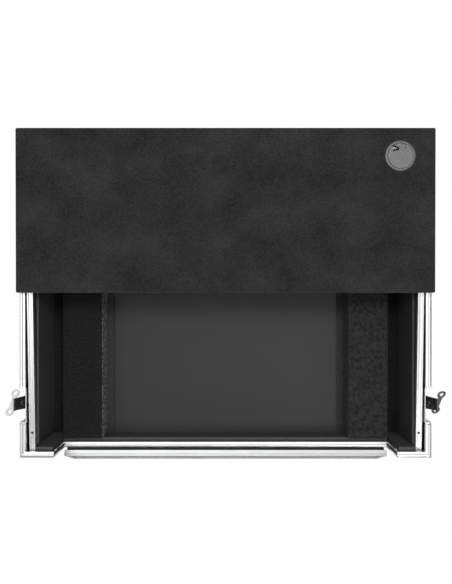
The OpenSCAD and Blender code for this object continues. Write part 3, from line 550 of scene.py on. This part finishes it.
def cross_head(radius, height):
    """A pan head with a cross recess: height (1 - (r / radius)^2 / 2.2), less the slot's depth
    inside the cross."""
    share = np.concatenate([np.linspace(1, 0.12, 9), [0.04]])
    rings = turned(np.stack([share * radius, np.zeros(len(share))], -1), 32)
    x, y = rings[:, :, 0], rings[:, :, 1]
    near = np.hypot(x, y) / radius
    top = height * (1 - near ** 2 / 2.2)
    cross = ((abs(x) < 0.16 * radius) | (abs(y) < 0.16 * radius)) & (near < 0.62)
    rings[:, :, 2] = top - np.where(cross, slot_depth, 0)
    base = rings[:1].copy()
    sunk = 0.4 * MM
    base[:, :, 2] = -sunk
    return capped(np.concatenate([base, rings]))


heads = []
head_radius, head_height = 2.4 * MM, 0.9 * MM
for low, high in islands("rail_screws"):
    centre = (low + high) / 2
    centre[2] = high[2] - head_height
    heads.append(placed(cross_head(head_radius, head_height), centre, 2, 1))
piece = make_piece("rail_screw_heads", *joined(heads)[:2], dark_steel)
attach(piece, "case")
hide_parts("rail_screws")


# Linings and foam blocks: charcoal closed-cell foam, cut by knife from sheet and block
# and glued in, with slightly rounded, uneven edges and a coarse cut face.
def facing(tree, axis, low, high):
    """0 to 1 as the normal's share along axis (0, 1 or 2) goes from low to high."""
    normal = tree.nodes.new("ShaderNodeNewGeometry")
    parts = tree.nodes.new("ShaderNodeSeparateXYZ")
    tree.links.new(normal.outputs["Normal"], parts.inputs[0])
    return spread(tree, parts.outputs[axis], 0, 1, low, high)


def blended(tree, shader, share, dark, light, scale=330):
    """Base colour from what it was to a speckle between dark and light, by share."""
    earlier = shader.inputs["Base Color"].links[0].from_socket
    grain = pattern(tree, scale, detail=3.0, rough=0.8)
    tint(tree, shader, spread(tree, grain, 0, 1, 0.45, 0.62), dark, light)
    speckle = shader.inputs["Base Color"].links[0].from_socket
    mix = tree.nodes.new("ShaderNodeMix")
    mix.data_type = "RGBA"
    tree.links.new(share, mix.inputs["Factor"])
    tree.links.new(earlier, mix.inputs["A"])
    tree.links.new(speckle, mix.inputs["B"])
    tree.links.new(mix.outputs["Result"], shader.inputs["Base Color"])


def foam_finish(name, dark, light, coarseness=1.0):
    """Foam between two grey levels, with a cell structure whose relief grows with coarseness."""
    material, tree, shader = finish(name, (light, light, light), 0.95,
                                    Specular_IOR_Level=0.12, Sheen_Weight=0.06)
    coarse = pattern(tree, 210 / coarseness, detail=4.0, rough=0.65)
    first = relief(tree, shader, pattern(tree, 520, detail=3.0, rough=0.7), 0.0006, 0.75)
    relief(tree, shader, coarse, 0.0009 * coarseness, 0.6, first)
    tint(tree, shader, spread(tree, coarse, 0, 1, 0.25, 0.75),
         (dark,) * 3, (light, light, light * 1.02))
    return material, tree, shader


foam = foam_finish("cut_foam", 0.007, 0.028)[0]
# The left block's foam: faces turned towards +X get a bright speckle. It is a painted highlight for
# the light falling on the block's inner side.
foam_painted_lit_side, tree, shader = foam_finish("foam_painted_lit_side", 0.007, 0.028)
blended(tree, shader, facing(tree, 0, 0.25, 0.6), (0.008,) * 3, (0.34,) * 3, 190)
coarse_foam = foam_finish("coarse_foam", 0.008, 0.057, 1.5)[0]
# A lighter copy of the base foam, painted light: it goes on the strips beside the floor panel, and
# the gaps by the walls keep the darker foam.
underlay = foam_finish("underlay_foam_painted_light", 0.03, 0.075)[0]
# The linings' foam: faces turned upwards are painted lighter. It is a painted highlight for the light
# from above on their top edges.
sheet_foam_painted_lit_tops, tree, shader = foam_finish("lining_foam_painted_lit_tops", 0.006, 0.019)
blended(tree, shader, facing(tree, 2, 0.35, 0.8), (0.085,) * 3, (0.115,) * 3)


def soft_block(low, high, radius, step, waver):
    """A box with round edges: a point q of the box's grid goes to c + radius (q - c) / |q - c|,
    where c is q held inside the box shrunk by radius. waver moves the faces in by up to that
    many metres, as a sum of slow sines."""
    low, high = np.array(low, float), np.array(high, float)
    size = high - low
    count = np.maximum(np.round(size / step).astype(int), 2)
    stops = []
    for k in range(3):
        even = np.linspace(low[k] + radius, high[k] - radius, count[k] + 1)
        bend = radius * (1 - np.tan(np.linspace(np.pi / 4, 0, 4)[:-1]))
        stops.append(np.concatenate([low[k] + bend, even, high[k] - bend[::-1]]))
    points, faces, first = [], [], 0
    for k in range(3):
        a, b = [v for v in range(3) if v != k]
        grid_a, grid_b = np.meshgrid(stops[a], stops[b], indexing="ij")
        for end in (low[k], high[k]):
            face = np.zeros(grid_a.shape + (3,))
            face[..., a], face[..., b], face[..., k] = grid_a, grid_b, end
            points.append(face.reshape(-1, 3))
            faces += quads(*grid_a.shape, first=first, around=False)
            first += grid_a.size
    q = np.concatenate(points)
    held = np.clip(q, low + radius, high - radius)
    out = q - held
    far = np.linalg.norm(out, axis=1)[:, None]
    p = held + radius * out / np.maximum(far, 1e-9)
    wave = (np.sin(p[:, 0] * 61 + p[:, 1] * 23) + np.sin(p[:, 1] * 47 - p[:, 2] * 90 + 1)
            + np.sin(p[:, 0] * 150 - p[:, 1] * 131 + 2) * 0.5) / 2.5
    p = p - out / np.maximum(far, 1e-9) * waver * (1 + wave[:, None]) / 2
    _, index, back = np.unique(np.round(p, 7), axis=0, return_index=True, return_inverse=True)
    back = back.ravel()
    welded = [[int(back[v]) for v in face] for face in faces]
    return p[index], welded, np.zeros((len(index), 2))


def foam_piece(name, boxes, node_names, radius, step, waver, cut_from=None):
    """One foam piece of soft blocks, each between two corners."""
    points, faces, _ = joined([soft_block(low, high, radius, step, waver) for low, high in boxes])
    made = make_piece(name, points, faces, cut_from or foam, sharp=80)
    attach(made, "case")
    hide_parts(*node_names)
    return made


for side, kind in (("l", foam_painted_lit_side), ("r", coarse_foam)):
    low, high = (np.array(c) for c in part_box("foam_block_" + side))
    foam_piece("side_foam_" + side, [(low, high)], ["foam_block_" + side],
               radius=2.2 * MM, step=7 * MM, waver=0.5 * MM, cut_from=kind)
low, high = (np.array(c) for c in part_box("foam_block_rear"))
foam_piece("rear_foam", [(low, high)], ["foam_block_rear"],
           radius=2.2 * MM, step=9 * MM, waver=0.5 * MM)

low, high = (np.array(c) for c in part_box("side_linings"))
lining = 5 * MM
foam_piece("side_lining_sheets",
           [((low[0], low[1], low[2]), (low[0] + lining, high[1], high[2])),
            ((high[0] - lining, low[1], low[2]), (high[0], high[1], high[2]))],
           ["side_linings"], radius=1.2 * MM, step=12 * MM, waver=0.25 * MM, cut_from=sheet_foam_painted_lit_tops)
low, high = (np.array(c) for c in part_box("front_lining"))
jamb_high = np.array(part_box("jamb_trims")[1])
sill_lining_top = sill_high[2] - 16 * MM
foam_piece("front_lining_sheets",
           [((low[0], low[1], low[2]), (-jamb_high[0], high[1], high[2])),
            ((jamb_high[0], low[1], low[2]), (high[0], high[1], high[2])),
            ((-jamb_high[0], low[1], low[2]), (jamb_high[0], high[1], sill_lining_top))],
           ["front_lining"], radius=1.6 * MM, step=10 * MM, waver=0.3 * MM, cut_from=sheet_foam_painted_lit_tops)
low, high = (np.array(c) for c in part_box("rear_lining"))
port_low, port_high = (np.array(c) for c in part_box("port_bezel"))
bezel_edge = 10.5 * MM
hole_low, hole_high = port_low + bezel_edge, port_high - bezel_edge
foam_piece("rear_lining_sheets",
           [((low[0], low[1], low[2]), (high[0], high[1], hole_low[2])),
            ((low[0], low[1], hole_high[2]), (high[0], high[1], high[2])),
            ((low[0], low[1], hole_low[2]), (hole_low[0], high[1], hole_high[2])),
            ((hole_high[0], low[1], hole_low[2]), (high[0], high[1], hole_high[2]))],
           ["rear_lining"], radius=1.0 * MM, step=12 * MM, waver=0.2 * MM, cut_from=sheet_foam_painted_lit_tops)
low, high = (np.array(c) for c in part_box("base_liner"))
block_middle = sum(np.array(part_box("foam_block_r")))[0] / 2
foam_piece("base_sheets",
           [(low, (-block_middle, high[1], high[2])), ((block_middle, low[1], low[2]), high)],
           ["base_liner"], radius=1.0 * MM, step=16 * MM, waver=0.2 * MM)
# The base liner's middle, under and beside the floor panel, takes the lighter foam copy as painted
# light.
foam_piece("panel_underlay", [((-block_middle, low[1], low[2]), (block_middle, high[1], high[2]))],
           ["base_liner"], radius=1.0 * MM, step=16 * MM, waver=0.2 * MM, cut_from=underlay)


# Floor panel: a smooth dark plastic sheet with rounded corners, laid on the base foam
# between the blocks. It shines softly where it faces the light.
def ring_at(low, high, corner, inset, z, steps=6):
    """A rounded rectangle at height z, inset from low and high, as an (n, 3) ring."""
    x0, y0, x1, y1 = low[0] + inset, low[1] + inset, high[0] - inset, high[1] - inset
    least_radius = 0.05 * MM
    flat = rounded_outline([(x0, y0), (x1, y0), (x1, y1), (x0, y1)],
                           max(corner - inset, least_radius), steps)
    return np.column_stack([flat, np.full(len(flat), z)])


def rounded_plate(low, high, corner, top_round, bottom_round=0.1 * MM, steps=5):
    """Rings of a plate whose wall ends in a quarter circle at each rim. At angle a, from 90 down to
    0 degrees, the bottom's is inset r (1 - cos a) and raised r (1 - sin a), and the top's is
    inset r (1 - sin a) and lowered r (1 - cos a)."""
    rings = [ring_at(low, high, corner, bottom_round * (1 - math.cos(t)),
                     low[2] + bottom_round * (1 - math.sin(t)))
             for t in np.linspace(np.pi / 2, 0, 3)]
    rings += [ring_at(low, high, corner, top_round * (1 - math.sin(t)),
                      high[2] - top_round * (1 - math.cos(t)))
              for t in np.linspace(np.pi / 2, 0, steps)]
    return np.stack(rings)


panel, tree, shader = finish("smooth_black_panel", (0.032, 0.032, 0.0325), 0.5,
                             Specular_IOR_Level=0.28)
haze = pattern(tree, 26, (1, 0.35, 1), detail=6.0)
fine = pattern(tree, 800, detail=2.0)
tree.links.new(spread(tree, haze, 0.46, 0.55), shader.inputs["Roughness"])
tint(tree, shader, haze, (0.043, 0.043, 0.0435), (0.052, 0.052, 0.0525))
relief(tree, shader, fine, 0.00008, 0.35)
low, high = (np.array(c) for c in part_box("floor_panel"))
panel_corner, panel_edge = 4 * MM, 0.6 * MM
points, faces, _ = capped(rounded_plate(low, high, panel_corner, panel_edge))
piece = make_piece("floor_sheet", points, faces, panel)
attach(piece, "case")
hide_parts("floor_panel")


# Corner balls, feet and rivets: pressed zinc-plated corners with a round ball, rubber
# feet screwed under the base, and domed rivets through every edging and angle.
balls = []
ball_radius = 20 * MM
ball_inset = 16 * MM
ball_proud = 1.004
pole = 0.003
case_bottom = 10.75 * MM
grid_u = np.linspace(-np.pi / 2, np.pi / 2, 25)
sphere_profile = np.column_stack([np.maximum(np.cos(grid_u), pole) * ball_radius,
                                  np.sin(grid_u) * ball_radius])
softened(["ball_corners"], zinc, "case", "ball_corner_plates", 0.5)
for sx in (-1, 1):
    for y in (case_low[1] + ball_inset, case_high[1] - ball_inset):
        centre = np.array([sx * (case_high[0] - ball_inset), y, case_bottom + ball_inset])
        points, faces, uv = capped(turned(sphere_profile, 40))
        balls.append((points * ball_proud + centre, faces, uv))
ball_piece = make_piece("corner_balls", *joined(balls)[:2], zinc, sharp=60)
cutter_mesh = bpy.data.meshes.new("case_block")
work = bmesh.new()
bmesh.ops.create_cube(work, size=1.0)
above_case = 300 * MM
block_low = np.array([case_low[0], case_low[1], case_bottom])
block_high = np.array([case_high[0], case_high[1], above_case])
bmesh.ops.transform(work, verts=work.verts, matrix=Matrix.LocRotScale(
    (block_low + block_high) / 2, None, block_high - block_low))
work.to_mesh(cutter_mesh)
work.free()
cutter = bpy.data.objects.new("case_block", cutter_mesh)
bpy.context.collection.objects.link(cutter)
cut = ball_piece.modifiers.new("cut", "BOOLEAN")
cut.operation = "DIFFERENCE"
cut.object = cutter
cut.solver = "EXACT"
bpy.context.view_layer.update()
cut_ball = ball_piece.evaluated_get(bpy.context.evaluated_depsgraph_get())
whole = bpy.data.meshes.new_from_object(cut_ball)
ball_piece.modifiers.clear()
ball_piece.data = whole
bpy.data.objects.remove(cutter)
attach(ball_piece, "case")

dome = np.array([(1.0, -0.15), (1.0, 0.0), (0.97, 0.28), (0.86, 0.55), (0.66, 0.78), (0.4, 0.93),
                 (0.14, 1.0), (0.02, 1.0)])
rivets = []
rivet_radius, rivet_height = 3.4 * MM, 1.3 * MM
for low, high in islands("case_rivets"):
    size = high - low
    axis = int(np.argmin(size))
    centre = (low + high) / 2
    middle = (case_low[axis] + case_high[axis]) / 2 if axis < 2 else 0
    sign = 1 if centre[axis] > middle else -1
    centre[axis] = low[axis] if sign > 0 else high[axis]
    shape = capped(turned(dome * np.array([rivet_radius, rivet_height]), 20))
    rivets.append(placed(shape, centre, axis, sign))
piece = make_piece("domed_rivets", *joined(rivets)[:2], zinc, sharp=60)
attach(piece, "case")
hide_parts("case_rivets")



def turned_loop(profile, steps):
    """Points and faces of a closed loop of (radius, height) points turned about Z."""
    rings = turned(profile, steps)
    last = (len(profile) - 1) * steps
    seam = [[last + j, last + (j + 1) % steps, (j + 1) % steps, j] for j in range(steps)]
    return rings.reshape(-1, 3), quads(len(profile), steps) + seam


feet, screws = [], []
well_radius, well_depth, bore_radius = 6.6 * MM, 6 * MM, 2.6 * MM
head_radius, head_height, head_depth = 5.2 * MM, 2.6 * MM, 5.9 * MM
for low, high in islands("rubber_feet"):
    centre = (low + high) / 2
    centre[2] = 0
    r, h = (high[0] - low[0]) / 2, high[2] - low[2]
    foot = [(well_radius, well_depth), (well_radius, 0.8 * MM), (well_radius + 0.8 * MM, 0),
            (r - 3.4 * MM, 0), (r - 2.4 * MM, 0.5 * MM), (r - 2 * MM, 1.4 * MM),
            (r - 0.9 * MM, h - 2.4 * MM), (r - 0.15 * MM, h - 1.2 * MM), (r, h - 0.5 * MM),
            (r - 0.4 * MM, h), (bore_radius, h), (bore_radius, well_depth)]
    points, faces = turned_loop(foot, 40)
    feet.append((points + centre, faces, np.zeros((len(points), 2))))
    screw = cross_head(head_radius, head_height)
    screws.append(placed(screw, centre + np.array([0, 0, head_depth]), 2, -1))
piece = make_piece("turned_feet", *joined(feet)[:2], soft_black, sharp=40)
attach(piece, "case")
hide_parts("rubber_feet")
piece = make_piece("foot_screw_heads", *joined(screws)[:2], dark_steel)
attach(piece, "case")
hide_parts("foot_screws")


# Rear cable port: a moulded black bezel through the wall and its lining, with the CAD's
# shape and rounded edges.
moulded, tree, shader = finish("moulded_black", (0.022, 0.022, 0.023), 0.5)
mould = pattern(tree, 500, detail=3.0)
relief(tree, shader, mould, 0.00012, 0.4)
tree.links.new(spread(tree, mould, 0.44, 0.58), shader.inputs["Roughness"])
softened(["port_bezel"], moulded, "case", "cable_port_bezel", 0.8, 3)


# Front flap: 9.5 mm board with glossy black laminate, framed in grooved aluminium, that
# hangs open on a piano hinge.
gloss, tree, shader = finish("gloss_black", (0.012, 0.012, 0.013), 0.16,
                             Coat_Weight=0.6, Coat_Roughness=0.08)
smear = pattern(tree, 30, (0.4, 1, 1), detail=6.0)
tree.links.new(spread(tree, smear, 0.12, 0.24), shader.inputs["Roughness"])
relief(tree, shader, pattern(tree, 700, detail=2.0), 0.00005, 0.25)
dress(["flap_board"], gloss)
dull_sheet, tree, shader = finish("dull_aluminium", (0.6, 0.605, 0.61), 0.36, 1.0)
rolled = pattern(tree, 700, (0.03, 1, 1), detail=4.0)
tree.links.new(spread(tree, rolled, 0.28, 0.46), shader.inputs["Roughness"])
relief(tree, shader, rolled, 0.00006, 0.35)
tint(tree, shader, pattern(tree, 60, (0.15, 1, 1), detail=6.0),
     (0.50, 0.505, 0.51), (0.66, 0.665, 0.67))
softened(["flap_edging"], dull_sheet, "flap", "flap_frame", 0.25, 2)
black_hinge, tree, shader = finish("black_hinge", (0.008, 0.008, 0.0085), 0.5,
                                   Specular_IOR_Level=0.3)
rubbed = pattern(tree, 220, detail=5.0)
tint(tree, shader, rubbed, (0.006, 0.006, 0.0063), (0.014, 0.014, 0.0145))
tree.links.new(spread(tree, rubbed, 0.4, 0.6), shader.inputs["Roughness"])
dress(["hinge_wall_leaf", "hinge_pin", "hinge_flap_leaf"], black_hinge)


# Laptop platform: plywood wrapped in charcoal short-pile carpet, on two black runners
# whose grooves ride over the rims' tongues. The grommet's hole goes through the carpet.
pile, tree, shader = finish("charcoal_carpet", (0.04, 0.04, 0.041), 0.95, Specular_IOR_Level=0.15,
                            Sheen_Weight=0.25, Sheen_Roughness=0.5)
fibre = pattern(tree, 1100, detail=3.0, rough=0.75)
tuft = pattern(tree, 230, detail=4.0, rough=0.75)
cloudy = pattern(tree, 14, detail=5.0)
first = relief(tree, shader, fibre, 0.0009, 0.8)
relief(tree, shader, tuft, 0.0012, 0.5, first)
mix = tree.nodes.new("ShaderNodeMath")
mix.operation = "MULTIPLY_ADD"
mix.inputs[1].default_value = 0.7
tree.links.new(tuft, mix.inputs[0])
tree.links.new(spread(tree, cloudy, 0.05, 0.25), mix.inputs[2])
tint(tree, shader, spread(tree, mix.outputs[0], 0, 1, 0.3, 0.75),
     (0.009, 0.009, 0.0092), (0.053, 0.053, 0.0537))
flange_low, flange_high = (np.array(c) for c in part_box("grommet_liner"))
hole_centre = (flange_low + flange_high)[:2] / 2
cap_low, cap_high = (np.array(c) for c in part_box("grommet_cap"))
cap_play, tube_wall, hole_play = 0.4 * MM, 2 * MM, 0.2 * MM
bore = (cap_high[0] - cap_low[0]) / 2 + cap_play
tube_radius = bore + tube_wall
hole_radius = tube_radius + hole_play

deck_corner, deck_top_round, deck_bottom_round = 3 * MM, 2.4 * MM, 1.0 * MM
outer = rounded_plate(deck_low, deck_high, deck_corner, deck_top_round, deck_bottom_round, 6)
work = bmesh.new()
rows = [[work.verts.new(p) for p in ring] for ring in outer]
around = np.linspace(0, 2 * np.pi, 64, endpoint=False)
wall = [[work.verts.new((hole_centre[0] + hole_radius * math.cos(t),
                         hole_centre[1] + hole_radius * math.sin(t), z))
         for t in around] for z in (deck_low[2], deck_high[2])]
for a, b in list(zip(rows[:-1], rows[1:])) + [tuple(wall)]:
    for j in range(len(a)):
        k = (j + 1) % len(a)
        work.faces.new((a[j], a[k], b[k], b[j]))
work.edges.ensure_lookup_table()
for outline, circle in ((rows[-1], wall[1]), (rows[0], wall[0])):
    rim = set(outline) | set(circle)
    edges = [e for e in work.edges if e.is_boundary and e.verts[0] in rim and e.verts[1] in rim]
    bmesh.ops.triangle_fill(work, edges=edges, use_beauty=True)
bmesh.ops.recalc_face_normals(work, faces=work.faces)
mesh = bpy.data.meshes.new("deck_carpet")
work.to_mesh(mesh)
work.free()
mesh.polygons.foreach_set("use_smooth", np.ones(len(mesh.polygons), bool))
mesh.set_sharp_from_angle(angle=math.radians(50))
mesh.materials.append(pile)
carpet = bpy.data.objects.new("deck_carpet", mesh)
bpy.context.collection.objects.link(carpet)
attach(carpet, "platform")
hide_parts("platform_carpet")
dress(["platform_board"], laminate)
softened(["platform_runners"], moulded, "platform", "deck_runners", 0.5)
dress(["platform_screws"], dark_steel)


# Grommet: a grey moulded liner with a domed flange in the carpet, a turning cap with a
# cable notch, and a shutter under it. The cap and the shutter keep the CAD's edges.
grey, tree, shader = finish("grey_moulding", (0.12, 0.12, 0.122), 0.3, IOR=1.8)
tint(tree, shader, pattern(tree, 60, detail=4.0), (0.108, 0.108, 0.11), (0.13, 0.13, 0.132))
orange_peel = pattern(tree, 900, detail=2.0)
relief(tree, shader, orange_peel, 0.00005, 0.3)
tree.links.new(spread(tree, pattern(tree, 120, detail=4.0), 0.24, 0.38), shader.inputs["Roughness"])
tube_low = flange_low[2]
tube_chamfer = 0.4 * MM
carpet_z = deck_high[2]
flange_under = carpet_z - 0.3 * MM
flange_radius = (flange_high[0] - flange_low[0]) / 2
lip_low, lip_high, lip_chamfer = carpet_z + 1.1 * MM, carpet_z + 1.7 * MM, 0.3 * MM
dome_foot = carpet_z + 0.1 * MM
flange_tuck = 0.2 * MM
dome_start = bore + 1.2 * MM
dome_span = flange_radius - dome_start
dome_height = 1.9 * MM
flange = [(bore, tube_low + tube_chamfer), (bore, lip_low), (bore + lip_chamfer, lip_high)]
flange += [(dome_start + dome_span * math.sin(t), dome_foot + dome_height * math.cos(t))
           for t in np.linspace(0, np.pi / 2, 9)]
flange += [(flange_radius - flange_tuck, flange_under), (tube_radius, flange_under),
           (tube_radius, tube_low + tube_chamfer), (tube_radius - tube_chamfer, tube_low),
           (bore + tube_chamfer, tube_low)]
points, faces = turned_loop(flange, 96)
piece = make_piece("grommet_ring", points + np.array([*hole_centre, 0]), faces, grey, sharp=50)
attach(piece, "platform")
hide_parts("grommet_liner")
dress(["grommet_cap", "grommet_shutter"], grey)


# Butterfly latches: a dish, a swinging plate, a sliding hook, a turning disc and a folding
# wing with two finger holes, pressed from steel. The plate and the hook are near black,
# with a bright metal lip on the hook, and the rest is zinc plated.
near_black_plate, tree, shader = finish("near_black_latch_plate", (0.025, 0.025, 0.026), 0.35)
tree.links.new(spread(tree, pattern(tree, 300, detail=4.0), 0.28, 0.45), shader.inputs["Roughness"])
softened(["latch_dishes"], zinc, "case", "latch_dish_pair", 0.5)
dress(["latch_pins"], zinc)
near_black_hook, tree, shader = finish("near_black_hook_with_lip", (0.025, 0.025, 0.026), 0.35)
tint(tree, shader, pattern(tree, 200, detail=4.0), (0.018, 0.018, 0.019), (0.034, 0.034, 0.035))
place = tree.nodes.new("ShaderNodeTexCoord")
parts_of = tree.nodes.new("ShaderNodeSeparateXYZ")
distance = tree.nodes.new("ShaderNodeMath")
distance.operation = "ABSOLUTE"
tree.links.new(place.outputs["Object"], parts_of.inputs[0])
tree.links.new(parts_of.outputs["X"], distance.inputs[0])
lip_depth, lip_blur = 2.2 * MM, 0.2 * MM
lip_x = -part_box("latch_hook_l")[0][0] - lip_depth
lip = spread(tree, distance.outputs[0], 0, 1, lip_x - lip_blur, lip_x + lip_blur)
blended(tree, shader, lip, (0.60, 0.61, 0.63), (0.80, 0.81, 0.83))
tree.links.new(lip, shader.inputs["Metallic"])
for side in ("l", "r"):
    softened(["latch_plate_" + side], near_black_plate, "plate_" + side,
             "latch_carrier_" + side, 0.4)
    softened(["latch_hook_" + side], near_black_hook, "hook_" + side,
             "latch_catch_" + side, 0.4)
    softened(["latch_disc_" + side], zinc, "disc_" + side, "latch_hub_" + side, 0.3)
    softened(["latch_wing_" + side], zinc, "wing_" + side,
             "latch_butterfly_" + side, 0.45, 3)


# Side handles: a pressed dish, a plated steel bail with a ribbed rubber grip, and coil
# springs on the pivot pin that pull it back into the dish.
softened(["handle_dishes"], zinc, "case", "handle_dish_pair", 0.8, 3)
rib_depth, rib_pitch, grip_chamfer, grip_core = 0.45 * MM, 4.2 * MM, 1 * MM, 4.5 * MM
for side in ("l", "r"):
    softened(["handle_bail_" + side], zinc, "handle_" + side, "handle_bow_" + side, 0.6)
    low, high = (np.array(c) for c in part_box("handle_grip_" + side))
    along = np.linspace(low[1] + grip_chamfer, high[1] - grip_chamfer, 121)
    base_radius = (high[2] - low[2]) / 2
    end_radius = base_radius - grip_chamfer
    ribs = base_radius - rib_depth * (0.5 + 0.5 * np.cos(along / rib_pitch * 2 * np.pi)) ** 2
    profile = np.concatenate([[[grip_core, low[1]], [end_radius, low[1]]],
                              np.column_stack([ribs, along]),
                              [[end_radius, high[1]], [grip_core, high[1]]]])
    points, faces = turned_loop(profile, 36)
    points = points[:, [0, 2, 1]] + np.array([(low[0] + high[0]) / 2, 0, (low[2] + high[2]) / 2])
    piece = make_piece("ribbed_grip_" + side, points, faces, soft_black, sharp=60)
    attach(piece, "handle_" + side)
    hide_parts("handle_grip_" + side)

springs = []
pin_radius, pin_centre = 3 * MM, 0.05 * MM
wire, coil_radius, coil_length, coil_inset, turns = 0.7 * MM, 3.8 * MM, 16 * MM, 17 * MM, 9
t = np.linspace(0, 1, turns * 18 + 1)[:, None]
angle = t * turns * 2 * np.pi
outward = np.concatenate([np.cos(angle), 0 * t, np.sin(angle)], 1)
along = np.array([0, 1.0, 0])
turn = np.linspace(0, 2 * np.pi, 8, endpoint=False)[None, :, None]
for low, high in islands("handle_springs"):
    axis_at = np.array([(low[0] + high[0]) / 2, 0, (low[2] + high[2]) / 2])
    pin = [(pin_centre, low[1]), (pin_radius, low[1]), (pin_radius, high[1]), (pin_centre, high[1])]
    points, faces, uv = capped(turned(pin, 28))
    springs.append((points[:, [0, 2, 1]] + axis_at, faces, uv))
    for start in (low[1] + coil_inset, high[1] - coil_inset - coil_length):
        spine = coil_radius * outward + (start + coil_length * t) * along
        rings = spine[:, None] + wire * (np.cos(turn) * outward[:, None] + np.sin(turn) * along)
        points, faces, uv = capped(rings)
        springs.append((points + axis_at, faces, uv))
piece = make_piece("handle_coils", *joined(springs)[:2], zinc, sharp=50)
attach(piece, "case")
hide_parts("handle_springs")
